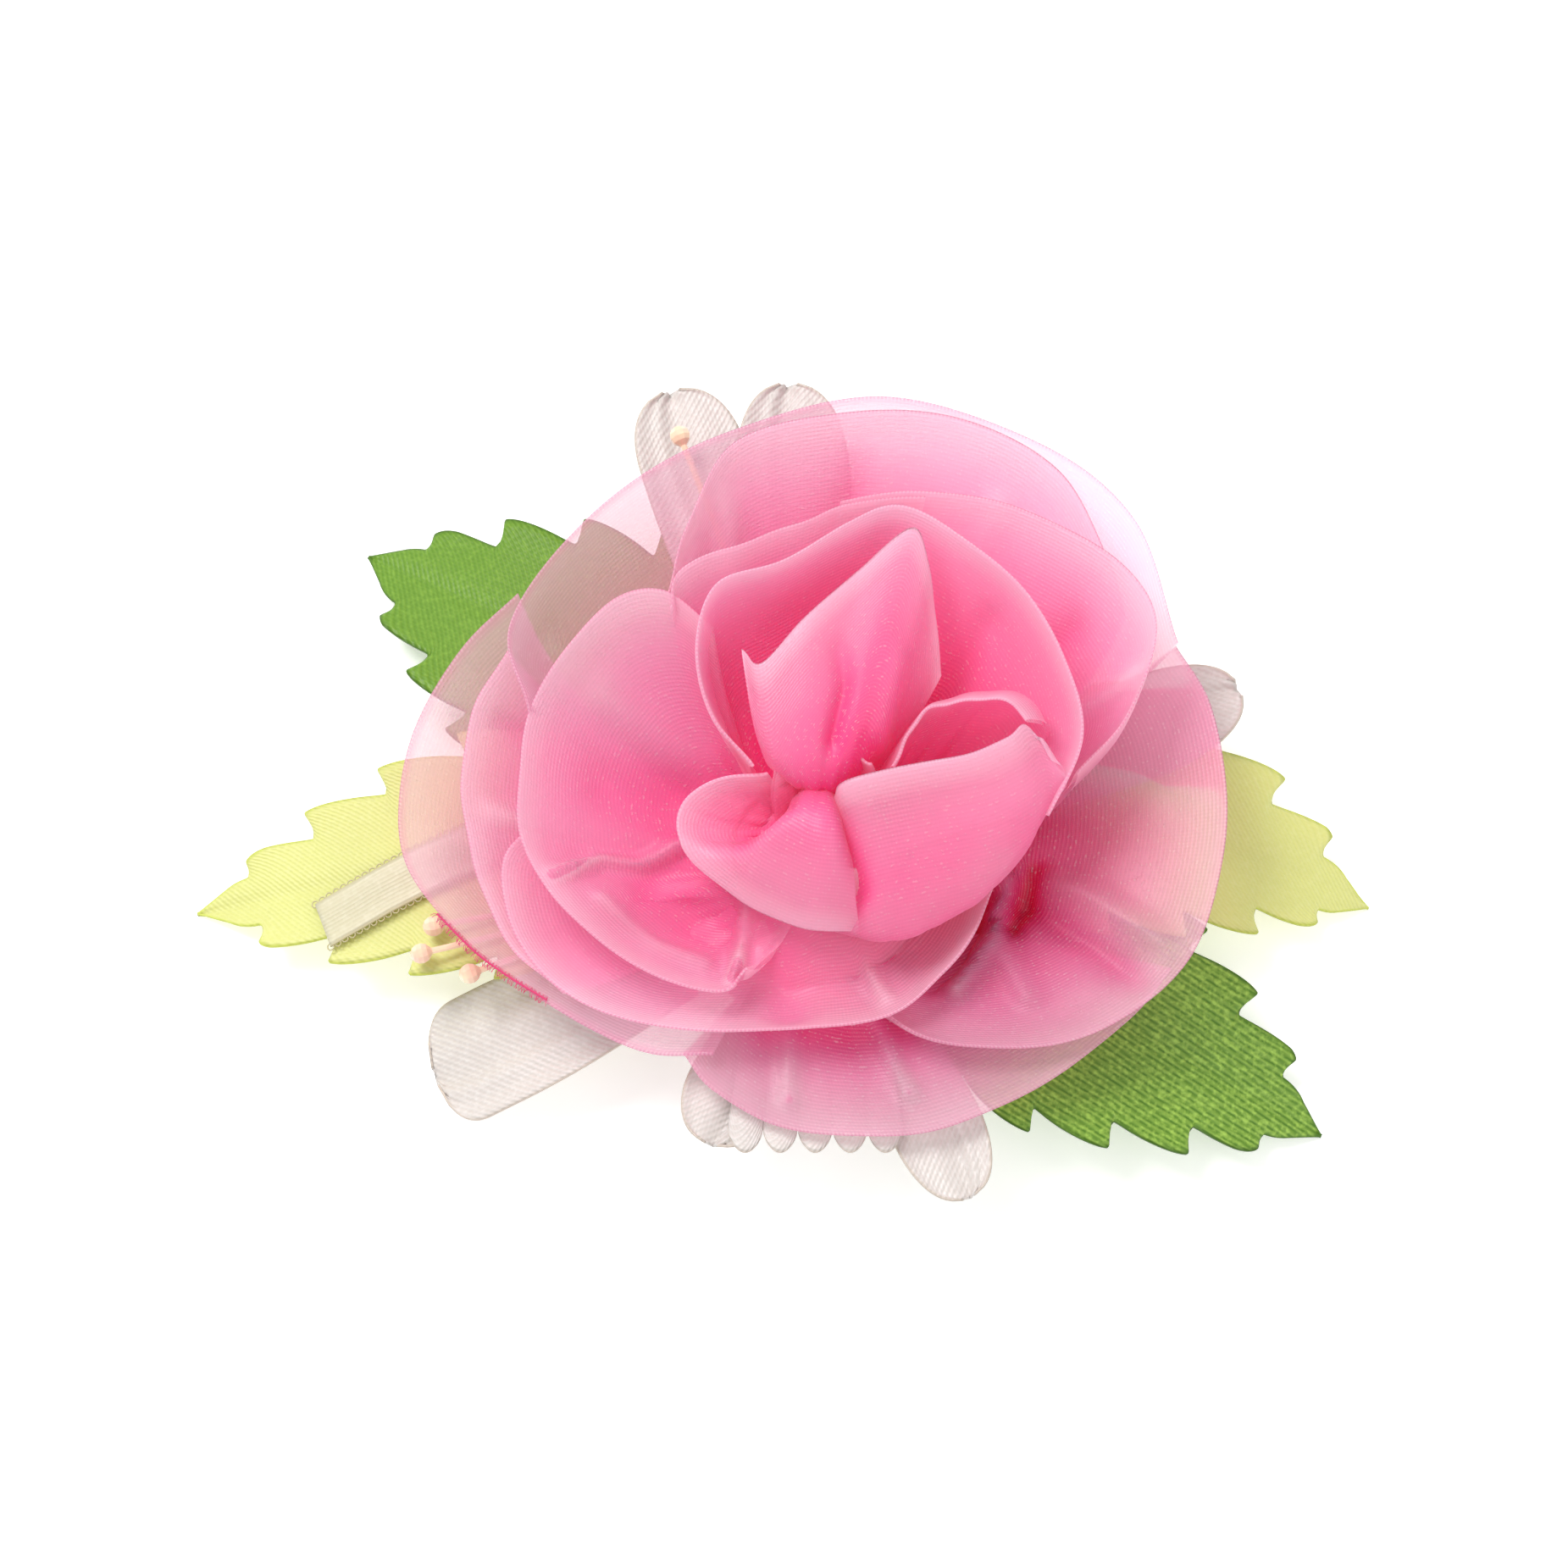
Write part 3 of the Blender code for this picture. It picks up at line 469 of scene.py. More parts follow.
# name, cloth, the width and length it was cut to, then stations from one side of the petal to the
# other: base, belly and rim points
PETALS = [
    ("petal_outer_back", "veil", (106, 88), [
        ((-13, 9, 8), (-25, 13, 12), (-33.6, 13.7, 23)),
        ((-12, 11, 8), (-28, 20, 12), (-36, 24.6, 23)),
        ((-9, 14, 8), (-21, 30, 12), (-26, 39, 23)),
        ((-4, 16.5, 8), (-8, 36, 11), (-10, 49.1, 24)),
        ((2, 17, 8), (6, 39, 11), (8, 53.6, 24)),
        ((8, 15.5, 8), (20, 35, 10), (26.3, 49, 21)),
        ((13, 11.5, 8), (30, 27, 10), (38.5, 39.4, 19)),
        ((15, 8, 8), (33, 18, 9), (43.2, 24.7, 17)),
    ]),
    ("petal_outer_left", "veil", (70, 73), [
        ((-13, 8, 8.5), (-27, 19, 9.5), (-35.4, 31, 17)),
        ((-14, 6, 8.5), (-31, 14.5, 9.2), (-42, 24.3, 16.5)),
        ((-14.8, 3, 8.5), (-34, 8.5, 9), (-47.2, 14.6, 15.5)),
        ((-15, 0, 8.5), (-35, 2, 8.6), (-49.1, 5.5, 14)),
        ((-14.7, -3, 8.5), (-33.5, -4, 8.2), (-48, -2.4, 12.5)),
        ((-13.8, -6, 8.5), (-30, -9, 8), (-43, -9.1, 11)),
        ((-12.5, -8.5, 8.5), (-25.5, -13, 7.8), (-36, -14.8, 10)),
        ((-10.8, -10.5, 8.5), (-20, -16.5, 7.6), (-27, -20.5, 9.5)),
        ((-8.5, -12.5, 8.5), (-15, -19, 7.5), (-19, -24.1, 9)),
        ((-6.5, -13.7, 8.5), (-10, -19.8, 7.5), (-12, -24.2, 9.5)),
    ]),
    ("petal_outer_right", "outer", (71, 79), [
        ((13.5, 6, 8.5), (29, 16, 9.5), (43.2, 25.4, 14)),
        ((14.2, 4.5, 8.5), (32, 12, 9.5), (47, 18.3, 14)),
        ((14.8, 2, 8.5), (34, 6, 9.5), (48.5, 8.7, 14)),
        ((15, -1, 8.5), (34, 0, 9.5), (48.2, -0.7, 13.5)),
        ((14.5, -4, 8.5), (32, -7, 9.2), (45.5, -10.6, 13)),
        ((13.3, -7, 8.5), (28.5, -12, 9), (40.9, -17, 12.5)),
        ((11.5, -9.7, 8.5), (24, -15.5, 8.8), (34, -21.4, 12)),
        ((9.3, -11.8, 8.5), (19, -18, 8.6), (26, -23.8, 11.5)),
        ((7, -13.3, 8.5), (13.5, -19, 8.5), (18, -23.8, 11)),
        ((5, -14.2, 8.5), (9, -19, 8.5), (12, -22.4, 11)),
        ((3.5, -14.6, 8.5), (6, -17.5, 8.7), (8, -19.4, 11)),
    ]),
    ("petal_outer_front", "outer", (61, 56), [
        ((-8, -15, 7.4), (-12.5, -20, 6.8), (-15.5, -23.8, 8.5)),
        ((-7, -15.5, 7.4), (-10, -22, 6.6), (-12, -27.9, 8)),
        ((-4, -16.5, 7.4), (-5, -24.5, 6.4), (-5, -32, 7.5)),
        ((0, -17, 7.4), (1.5, -25.8, 6.3), (4, -33.7, 7.5)),
        ((4, -16.5, 7.4), (8.5, -25.2, 6.4), (13, -33, 7.5)),
        ((8, -15, 7.4), (15.5, -22.8, 6.6), (22, -29.8, 8)),
        ((11.3, -12.8, 7.4), (22, -19, 7), (30.5, -25, 8.5)),
        ((13.5, -10.3, 7.4), (27, -14.5, 7.4), (37.4, -19.3, 9)),
        ((15, -8, 7.4), (30, -10.5, 7.8), (42, -13.6, 9.5)),
    ]),
    ("petal_second_back", "pink", (72, 87), [
        ((-9, 10, 9.5), (-15, 21, 12.5), (-17.4, 29.1, 22)),
        ((-8, 11, 9.5), (-14, 25, 12.5), (-15, 37.7, 23.5)),
        ((-5, 13, 9.5), (-8, 31, 13), (-9, 47.5, 24.5)),
        ((1, 14, 9.5), (3, 34, 13), (4, 51.1, 25)),
        ((6, 12.6, 9.5), (13, 33, 12.5), (17.5, 50.7, 24)),
        ((9.5, 10.3, 9.5), (22, 28, 12), (29, 44.7, 22)),
        ((12, 7.2, 9.5), (27, 21, 11.5), (35, 34.2, 20)),
        ((13, 5, 9.5), (28, 16, 11), (37, 27.5, 18)),
    ]),
    ("petal_second_left", "pink", (41, 66), [
        ((-11, 7, 9.5), (-26, 15, 12), (-36.3, 22.5, 20)),
        ((-12, 5.5, 9.5), (-28.5, 11, 11.5), (-40, 16.3, 19.5)),
        ((-12.8, 3, 9.5), (-30, 6, 11), (-41.3, 8.2, 18.5)),
        ((-13, 0, 9.5), (-30, 0, 10.5), (-41, 0.2, 17)),
        ((-12.6, -3, 9.5), (-28, -5.5, 10), (-38.5, -7.2, 15.5)),
        ((-11.6, -6, 9.5), (-25, -10.5, 9.5), (-34.5, -13.6, 14)),
        ((-10, -8.5, 9.5), (-21, -14, 9.5), (-29.5, -17.8, 13)),
    ]),
    ("petal_second_front", "pink", (70, 56), [
        ((-11, 1, 10.5), (-25, 1, 11.5), (-34, 1.0, 17)),
        ((-11.3, 0, 10.5), (-26, -2, 11), (-36.5, -2.2, 17)),
        ((-11.3, -2, 10.5), (-26, -5.5, 10.5), (-36.8, -6.1, 16)),
        ((-10.5, -4.5, 10.5), (-24.5, -9.5, 10), (-34.7, -11.6, 15)),
        ((-9.3, -6.8, 10.5), (-21, -13, 9.5), (-30.2, -17.1, 14)),
        ((-7.5, -8.7, 10.5), (-16.5, -16, 9), (-23.2, -20.5, 13)),
        ((-3, -7.7, 10.5), (-8.5, -16.5, 8.7), (-12.2, -22.6, 12.5)),
        ((0.5, -7.5, 10.5), (0, -16, 8.7), (-0.5, -21.9, 12.5)),
        ((3.5, -7, 10.5), (7, -15, 9), (9.1, -20, 13)),
        ((6, -6.5, 10.5), (11.5, -12, 9.5), (14.8, -15.5, 14)),
        ((8, -5.5, 10.5), (14.5, -8.8, 10.5), (18.8, -10.6, 15)),
        ((10.5, -4.5, 10.5), (16.5, -5, 11.5), (21.3, -4.9, 16)),
    ]),
    ("petal_third_right", "pink", (60, 85), [
        ((-1, 11.5, 11), (1, 27, 15), (3, 38.2, 28)),
        ((3, 11.2, 11), (9, 28, 15), (13, 39.2, 29)),
        ((6, 10, 11), (17, 26, 15), (23, 37.4, 29)),
        ((8.5, 8, 11), (25, 22, 15), (33, 32.4, 28)),
        ((10.3, 5.5, 11), (30, 17, 14.5), (39.6, 26, 26.5)),
        ((11.2, 3, 11), (31, 12, 14), (39.5, 19.6, 25)),
        ((11.5, 1, 11), (29, 8, 13.5), (36, 12.7, 23.5)),
        ((11.3, -1.5, 11), (25, 3, 13), (30.5, 6.3, 22)),
    ]),
    ("petal_third_left", "pink", (32, 71), [
        ((-8, 8, 11), (-14, 17, 15.5), (-17, 25.7, 26)),
        ((-7, 9, 11), (-13, 19, 15.5), (-15.5, 29.7, 28)),
        ((-5, 10.3, 11), (-8, 22, 16), (-8.8, 32.6, 29)),
        ((-2, 11.3, 11), (-3, 24, 16), (-1.5, 34.8, 29.5)),
        ((1, 11.5, 11), (3, 26, 16), (5, 37.7, 29.5)),
        ((4, 11, 11), (9, 26, 15.5), (13, 38.4, 29)),
    ]),
    ("petal_bowl_left", "pink", (71, 62), [
        ((-6, 6.5, 12.5), (-10, 15, 19), (-12, 23.5, 25)),
        ((-7, 6, 12.5), (-13.5, 17, 19), (-17.6, 27.7, 26)),
        ((-8, 5, 12.5), (-18, 16, 17.5), (-23.5, 27, 25.5)),
        ((-9, 3.5, 12.5), (-22, 12.5, 16), (-29, 21.5, 24.5)),
        ((-9.5, 2, 12.5), (-24, 8, 15), (-33.2, 14.2, 22.5)),
        ((-9.8, 0, 12.5), (-25, 3, 14), (-34.5, 7, 21)),
        ((-9.5, -2.5, 12.5), (-24.5, -2, 13), (-34.5, -0.5, 19.5)),
        ((-8.5, -4.5, 12.5), (-21.5, -6.5, 14), (-31, -7.5, 18)),
        ((-7.5, -6, 12.5), (-17.5, -10, 11.5), (-25, -12.5, 16.5)),
        ((-6, -7.5, 12.5), (-12.5, -13, 11), (-17.5, -16.5, 15)),
        ((-4, -8.5, 12.5), (-8, -14.5, 11), (-11, -17.8, 14.3)),
        ((-2.5, -9, 12.5), (-5.5, -13, 11.5), (-8, -15, 14)),
    ]),
    ("petal_cup_back", "deep", (84, 73), [
        ((-4, 3, 13.5), (-7, 7, 19), (-7.2, 6.4, 24)),
        ((-5, 4.5, 13.5), (-10, 11, 19.5), (-11.8, 12, 26.5)),
        ((-6, 6, 13.5), (-12, 16, 20), (-13.7, 20, 29.5)),
        ((-5.5, 7.2, 13.5), (-11, 20, 20), (-11.5, 26.5, 31.5)),
        ((-3.5, 8.3, 13.5), (-6, 22.5, 20), (-4, 29, 32.5)),
        ((-1, 9, 13), (1, 25, 20), (4, 33.5, 33)),
        ((1.5, 9, 13), (7, 26, 20), (10.5, 35.2, 33)),
        ((4, 8.3, 13), (13, 24, 20), (18, 31.2, 32.5)),
        ((6.3, 6.8, 12.5), (19, 20, 19.5), (24.5, 25.5, 31.5)),
        ((8, 5, 12.5), (23, 14.5, 19), (29, 18, 30)),
        ((9, 2.5, 12.5), (25, 8, 18.5), (30.8, 9.5, 27)),
        ((9.3, -0.5, 12.5), (22, 2, 17.5), (27.1, 1, 22)),
    ]),
    ("petal_heart_back", "deep", (31, 85), [
        ((-3.5, 9, 16), (-6.3, 8.5, 25), (-8.6, 19.5, 28)),
        ((-2.5, 9.5, 16), (-4.3, 6, 25.8), (-6.3, 17, 30)),
        ((-1, 9.5, 16), (-1.5, 5, 26.3), (-1.5, 22, 30.8)),
        ((0.5, 9.5, 16), (1.3, 5.2, 26.4), (5, 28, 31.8)),
        ((1.8, 9.5, 16), (4, 6.5, 26), (11.3, 33, 32.5)),
        ((3, 9, 16), (7.2, 9.5, 24.5), (13, 29.3, 30.5)),
        ((4, 8.5, 16), (9.5, 11.5, 22.5), (14.3, 23.7, 27)),
        ((5, 8, 15.5), (10.5, 12, 20.5), (14.8, 18, 23.5)),
    ]),
    ("petal_heart_right", "deep", (26, 56), [
        ((4, 3, 14), (7.5, 5, 20), (8.9, 5.3, 27)),
        ((5, 5, 14), (9, 9, 20.5), (10.6, 8.7, 28.5)),
        ((7, 6.5, 13.5), (12, 12.5, 21), (13, 11, 29.5)),
        ((9, 7, 13.5), (15.5, 14.5, 21), (15.8, 12.2, 30)),
        ((11, 6.5, 13), (20, 15, 21), (19.6, 12.4, 30)),
        ((12, 5, 13), (24, 13.5, 21), (23, 11.6, 29.5)),
        ((12.5, 3, 12.5), (26, 10, 20.5), (24.3, 10.2, 29)),
    ]),
    ("petal_heart_front", "deep", (37, 62), [
        ((1, -4, 12.5), (-1, -9.3, 15), (1, 0.9, 21)),
        ((3, -4.5, 12.5), (4, -10.6, 15.5), (2.2, 3, 24)),
        ((5, -5, 12), (7.5, -11.6, 17.3), (3.5, 3.6, 27)),
        ((7, -5, 12), (11.5, -11.2, 18), (8, 4.6, 28)),
        ((9, -4, 12), (16, -9.4, 18.3), (13, 5.2, 29)),
        ((10.5, -3, 12), (20.4, -6.5, 18.5), (18, 6.2, 29.3)),
        ((11.5, -1.5, 12), (23.8, -2.8, 19), (22, 8.1, 29.3)),
        ((12, 0, 12), (26.1, 1, 20), (24.5, 9.9, 28.5)),
        ((12.3, 1.5, 12), (27.4, 3.7, 20.5), (27.2, 6.5, 26)),
    ]),
    ("petal_heart_left", "deep", (36, 58), [
        ((-3, 4.5, 15), (-4.5, 5.6, 19.5), (-5.6, 6.4, 22)),
        ((-3.5, 4, 15), (-6.7, 4.8, 18.5), (-9.6, 6.1, 22)),
        ((-4, 3, 15), (-8.5, 3.4, 17.5), (-13, 5, 21.5)),
        ((-4, 2.5, 15), (-10, 1.8, 17), (-15.2, 3.3, 21)),
        ((-3.5, 2, 15), (-10.5, 0.3, 17), (-16.2, 0.8, 20.3)),
        ((-3, 2.5, 15), (-10, -1, 17.6), (-15.9, -1, 19.3)),
        ((-2.5, 3.5, 14.5), (-8, -1.4, 20), (-14, -3.8, 18)),
        ((-2, 5, 14), (-5.2, -1, 23.5), (-10.5, -6.6, 17.2)),
        ((-1, 7, 14.5), (-2.8, 0, 25.5), (-7.1, -9, 16.8)),
        ((0.3, 7.6, 15), (-0.4, -0.4, 26), (-2.4, -10.6, 16.5)),
        ((2, 6.5, 15), (2.3, -1.8, 25.6), (1.6, -11.2, 16.5)),
        ((3.2, 4.5, 14), (4.0, -4.6, 21.5), (5.2, -10.8, 14.6)),
    ]),
    ("petal_bud_front", "deep", (20, 26), [
        ((-6, -2, 12), (-8, -3, 14.5), (-6, -1, 17)),
        ((-3, -4.5, 12), (-4, -6, 15), (-3, -2.5, 18.5)),
        ((0, -6, 12), (0, -7.5, 15), (0.5, -3, 19)),
        ((4, -6.5, 12), (5, -8.5, 16), (5.2, -5, 21)),
        ((7, -5.5, 12), (9, -7, 17), (8, -3, 22)),
    ]),
    ("petal_bud_back", "deep", (17, 25), [
        ((-4, 1, 15), (-5, 3.5, 20), (-4.5, 6, 24.5)),
        ((-1, 3, 15.5), (-1.5, 6, 20), (-1.5, 8, 25)),
        ((2, 3.5, 15.5), (3, 6.5, 20), (2.5, 8, 25.2)),
        ((5, 2.5, 15), (7, 5, 20), (6.5, 6.5, 25)),
    ]),
]

# creases as a path over the plan of the petal, its width, its height (below the petal if negative), and
# how much painted shade deepens the cloth's colour there; where negative it is painted highlight
CREASES = {
    "petal_bowl_left": [
        ([(-15, 1.2), (-20.9, -2), (-25.4, -1.8), (-31, -5)], 0.8, 1.8, -0.25),
        ([(-19, -6), (-11.5, -9.5)], 3.2, -1.8, 0.25),
        ([(-7.8, -6), (-8.6, -11), (-9.4, -15.8)], 0.9, 1.6, -0.25),
        ([(-13, -13.5), (-19, -11.5), (-25, -7)], 1.0, 1.0, -0.1),
        ([(-14, 6), (-24, 7)], 3.5, -1.2, 0.15),
        ([(-13, 10), (-25, 17)], 2.5, 0.8, -0.1),
    ],
    "petal_outer_right": [
        ([(22.3, -2.4), (21.2, -9.4), (16.6, -16.4)], 0.9, 2.6, -0.3),
        ([(26, -1), (25, -5), (23.4, -8)], 1.3, -2.2, 0.5),
        ([(19, -6), (17.5, -11.5), (13.5, -15)], 1.4, -2.4, 0.5),
        ([(25, -1), (33, -5), (41, -11)], 1.6, 1.0, -0.08),
        ([(22, -11), (25, -17)], 1.4, 0.8, -0.1),
        ([(25, -5.5), (33, -11), (38, -16)], 1.8, -1.2, 0.15),
        ([(30, 14), (38, 15), (47, 14)], 6.5, 0.0, -0.45),
    ],
    "petal_outer_front": [
        ([(-5, -20), (3, -21), (10, -20)], 3.0, 0.0, 0.3),
        ([(7, -19), (11, -28)], 1.2, 0.9, -0.15),
        ([(-3, -20), (-3, -29)], 1.4, 0.7, -0.1),
        ([(20, -15), (32, -20)], 1.0, 0.9, 0.1),
    ],
    "petal_second_front": [
        ([(-4, -13), (-3, -21)], 2.5, -0.6, 0.15),
        ([(6, -13), (8.5, -18)], 1.0, 0.9, -0.1),
    ],
    "petal_third_right": [
        ([(20, 12), (31, 16), (38, 19)], 1.6, 1.2, -0.15),
        ([(18, 17), (30, 25)], 2.2, -1.4, 0.15),
    ],
    "petal_cup_back": [
        ([(2, 14), (5, 28)], 1.6, -1.0, 0.0),
        ([(13, 14), (20, 24)], 2.0, -1.0, 0.0),
    ],
    "petal_heart_back": [
        ([(2, 8), (3.5, 14), (2.5, 19)], 1.2, -1.2, 0.25),
        ([(7, 10), (9, 18)], 1.2, 0.8, -0.1),
    ],
    "petal_heart_front": [
        ([(5, -11), (11.5, -11.2), (17, -9), (22, -5)], 3.2, 0.0, -0.4),
        ([(3.6, -1), (5.2, -8)], 1.6, -0.8, 0.5),
        ([(9, 0), (17, 3)], 2.5, -0.5, 0.05),
    ],
    "petal_heart_left": [
        ([(-3.5, 2), (-7, 0), (-8.5, -2)], 1.5, -0.4, 0.3),
    ],
    "petal_outer_back": [
        ([(-10, 20), (-14, 40)], 2.5, 1.0, -0.1),
        ([(6, 22), (12, 46)], 3.0, -1.2, 0.1),
        ([(-22, 18), (-31, 24)], 1.5, 1.0, -0.1),
        ([(22, 28), (32, 38)], 2.0, 1.2, 0.1),
        ([(24, 47), (36, 40), (42, 27)], 5.0, 0.0, 0.32),
    ],
    "petal_second_back": [
        ([(-8, 24), (-11, 41)], 2.0, 1.2, -0.15),
        ([(3, 25), (5, 46)], 2.5, -1.2, 0.15),
        ([(14, 26), (22, 42)], 1.6, 1.2, -0.15),
        ([(22, 22), (33, 33)], 2.0, -1.2, 0.12),
    ],
    "petal_second_left": [
        ([(-24, 2), (-38, 4)], 1.5, 0.9, -0.12),
        ([(-22, -6), (-33, -11)], 1.8, -0.8, 0.12),
        ([(-24, 10), (-37, 15)], 1.5, -0.8, 0.1),
    ],
    "petal_outer_left": [
        ([(-26, 12), (-42, 20)], 1.8, 0.8, -0.05),
        ([(-28, 0), (-46, 2)], 1.5, 0.6, 0.0),
        ([(-22, -10), (-34, -14)], 1.5, 0.7, 0.1),
    ],
}
CLOTHS = {"veil": ORGANZA_VEIL, "outer": ORGANZA_OUTER, "pink": ORGANZA, "deep": ORGANZA_HEART}

for number, (name, cloth, cut, stations) in enumerate(PETALS):
    petal = organza_piece(name + "_organza", shaped_petal(stations), CLOTHS[cloth],
                          CREASES.get(name, ()), seed=number)
    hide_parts(name)


# ---- leaves ------------------------------------------------------------------------------------
TEETH = 6                    # along each side of a leaf
TOOTH_FROM = 0.08            # how far along the leaf its teeth start
TOOTH_DEPTH, TOOTH_HOOK = 2.6, 2.5
MIDRIB_DEPTH, MIDRIB_WIDTH = 0.25, 1.0


def along_axis(base, tip, share, aside, bow, ahead_by=0.0):
    """Places on the plan at a share of the way from base to tip, some way aside and ahead of it."""
    (x0, y0), (x1, y1) = base, tip
    length = straight_length(base, tip)
    ahead = ((x1 - x0) / length, (y1 - y0) / length)
    aside = aside + bow * np.sin(math.pi * share)
    run = share * length + ahead_by
    return x0 + ahead[0] * run - ahead[1] * aside, y0 + ahead[1] * run + ahead[0] * aside


def droop(start, end, share):
    return start + (end - start) * share ** 1.7


def leaf_height(layer, share, edge):
    hang = np.clip(share - 0.3, 0, None) / 0.7
    return droop(layer, LEAF_REST, hang) + 0.8 * edge * np.sin(math.pi * share) * share


def leaf_outline(u, v, width):
    """Half the leaf's width at each point and how far its teeth lean towards the tip there."""
    body = (np.sin(math.pi / 2 * np.minimum(1, u / 0.3)) ** 0.8
            * (1 - (1 - np.minimum(1, (1 - u) / 0.66)) ** 1.5))
    # the teeth shorten towards the tip, and one side's are a little ahead of the other's
    along = np.clip((u - TOOTH_FROM) / (1 - TOOTH_FROM), 0, 1)
    tooth = np.where(u > TOOTH_FROM, TEETH * (1 - (1 - along) ** 0.85) + 0.14 * (v > 0), 0.0)
    t = tooth % 1.0
    # a tooth swells to a round knob, then turns in sharply on the side towards the tip
    swelling = np.sin(math.pi / 2 * t / 0.8) ** 1.15
    turning_in = np.maximum(0, np.cos((t - 0.8) / 0.2 * math.pi / 2)) ** 0.6
    bite = np.where(t < 0.8, swelling, turning_in)
    grown = np.clip((u - TOOTH_FROM) * 8, 0, 1) * np.clip((1 - u) * 9 - 0.6, 0, 1)
    half = np.maximum(0.12, width / 2 * body + TOOTH_DEPTH * (bite - 0.6) * grown)
    return half, TOOTH_HOOK * bite ** 3 * grown * np.abs(v) ** 4


def leaf_piece(name, base, tip, layer, width, bow, material, seed):
    """A die-cut leaf: hooked teeth that lean towards its tip."""
    u, v = grid_of(260, 25, -1)
    half, hook = leaf_outline(u, v, width)
    x, y = along_axis(base, tip, u, v * half, bow, hook)
    reach = np.abs(v)
    a, b = np.random.default_rng(seed).uniform(0, 6.28, 2)
    ripple = (0.35 * np.sin(2 * math.pi * 1.6 * u + a) * reach ** 2 * np.sin(math.pi * u)
              + 0.12 * np.sin(9 * u + 4 * v + b))
    z = leaf_height(layer, u, reach) + ripple * np.clip(u * 4 - 0.6, 0, 1)
    z = np.maximum(z, LEAF_REST)
    # the midrib is pressed in
    rib = np.exp(-(v * half / MIDRIB_WIDTH) ** 2) * np.clip(u * 5, 0, 1) * np.clip((1 - u) * 6, 0, 1)
    z = np.maximum(z - MIDRIB_DEPTH * rib, LEAF_REST)
    grid = np.stack([x, y, z], axis=-1)
    uv = np.stack([u * straight_length(base, tip), v * half], axis=-1)
    return flat_piece(name, grid, uv, (1 - reach) * half, material, LEAF_WALL)


# base, tip, height where it is held, width, bow to one side, cloth
LEAVES = [
    ("leaf_lime_left", (-15, 6), (-75, -1), LEAF_HIGH, 30, 0.5, LIME),
    ("leaf_lime_right", (16, 13), (67.5, -0.2), LEAF_HIGH, 31, 1.0, LIME),
    ("leaf_green_back", (-8, 15), (-55.5, 46), LEAF_LOW, 37, 0.0, GREEN),
    ("leaf_green_front", (12, -4), (60.7, -29), LEAF_LOW, 34, -1.0, GREEN_TWILL),
]
for number, (name, *shape) in enumerate(LEAVES):
    leaf = leaf_piece(name + "_satin", *shape, seed=number)
    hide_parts(name)


# ---- cream petals ------------------------------------------------------------------------------
END_POWER = 2.4              # how square the rounded end of a cream petal is


def cream_piece(name, base, tip, width, rounds_at, height, tip_height):
    u, v = grid_of(70, 21, -1)
    end = np.clip((u - rounds_at) / (1 - rounds_at), 0, 0.995)
    taper = 0.5 + 0.5 * np.sin(math.pi / 2 * np.minimum(1, u / 0.75))
    half = width / 2 * taper * (1 - end ** END_POWER) ** (1 / END_POWER)
    x, y = along_axis(base, tip, u, v * half, 0)
    z = droop(height, tip_height, u) + 0.5 * v ** 2 * u + 0.25 * np.sin(5 * v + 4 * u)
    # a soft lengthwise fold, and cut edges that curl up
    z = z + 0.7 * np.exp(-((v - 0.45) / 0.12) ** 2) * np.clip(u * 2 - 0.4, 0, 1) + 0.5 * u * v ** 6
    z = np.maximum(z, LEAF_REST + 0.3)
    grid = np.stack([x, y, z], axis=-1)
    uv = np.stack([u * straight_length(base, tip), v * half], axis=-1)
    return flat_piece(name, grid, uv, (1 - np.abs(v)) * half, CREAM, CREAM_WALL)


# base, tip, width, how far along its end starts to round, height at the base and at the tip
CREAMS = [
    ("cream_petal_back_left", (-4, 19), (-17.6, 62.5), 13.5, 0.78, CREAM_LOW, 5.0),
    ("cream_petal_back", (-1, 19), (-3.1, 63), 14, 0.7, CREAM_HIGH, 6.0),
    ("cream_petal_right", (17, 8), (51.3, 23.4), 13, 0.6, CREAM_HIGH, CREAM_LOW),
    ("cream_petal_front_left", (-15, -11.5), (-45.5, -22), 15.5, 0.85, CREAM_LOW, LEAF_REST + 0.6),
    ("cream_petal_front", (-6, -16), (-12.2, -33.5), 11, 0.6, CREAM_LOW, 3.5),
    ("cream_petal_front_right", (7, -15), (18, -39.9), 11, 0.6, CREAM_LOW, 3.5),
]
for name, *shape in CREAMS:
    petal = cream_piece(name + "_satin", *shape)
    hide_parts(name)


# ---- ribbon tail and frill ---------------------------------------------------------------------
RIBBON_WIDTH, RIBBON_LENGTH = 6.0, 42
RIBBON_LIFT = 0.75           # middle of the ribbon above the middle of the leaf under it
FRILL_WIDTH, FRILL_LENGTH = 30, 17
FRILL_SPREAD = 20.5          # how wide the gathered frill is at its ends
FRILL_BACK = -18             # where the frill is held under the rose
FRILL_PLEATS = 5


def ribbon_tail():
    """A tail of ribbon over the left leaf, cut off square. Gives the piece and its two long edges."""
    u, v = grid_of(60, 9, -1)
    x, y = along_axis((-19, 10), (-59, -5), u, v * RIBBON_WIDTH / 2, -1.5)
    z = leaf_height(LEAF_HIGH, (x + 15) / -60, 1) + RIBBON_LIFT
    grid = np.stack([x, y, z], axis=-1)
    uv = np.stack([u * RIBBON_LENGTH, v * RIBBON_WIDTH / 2], axis=-1)
    made = flat_piece("ribbon_tail_satin", grid, uv, (1 - np.abs(v)) * RIBBON_WIDTH / 2, RIBBON, RIBBON_WALL)
    return made, [grid[::-1, side] for side in (0, -1)]


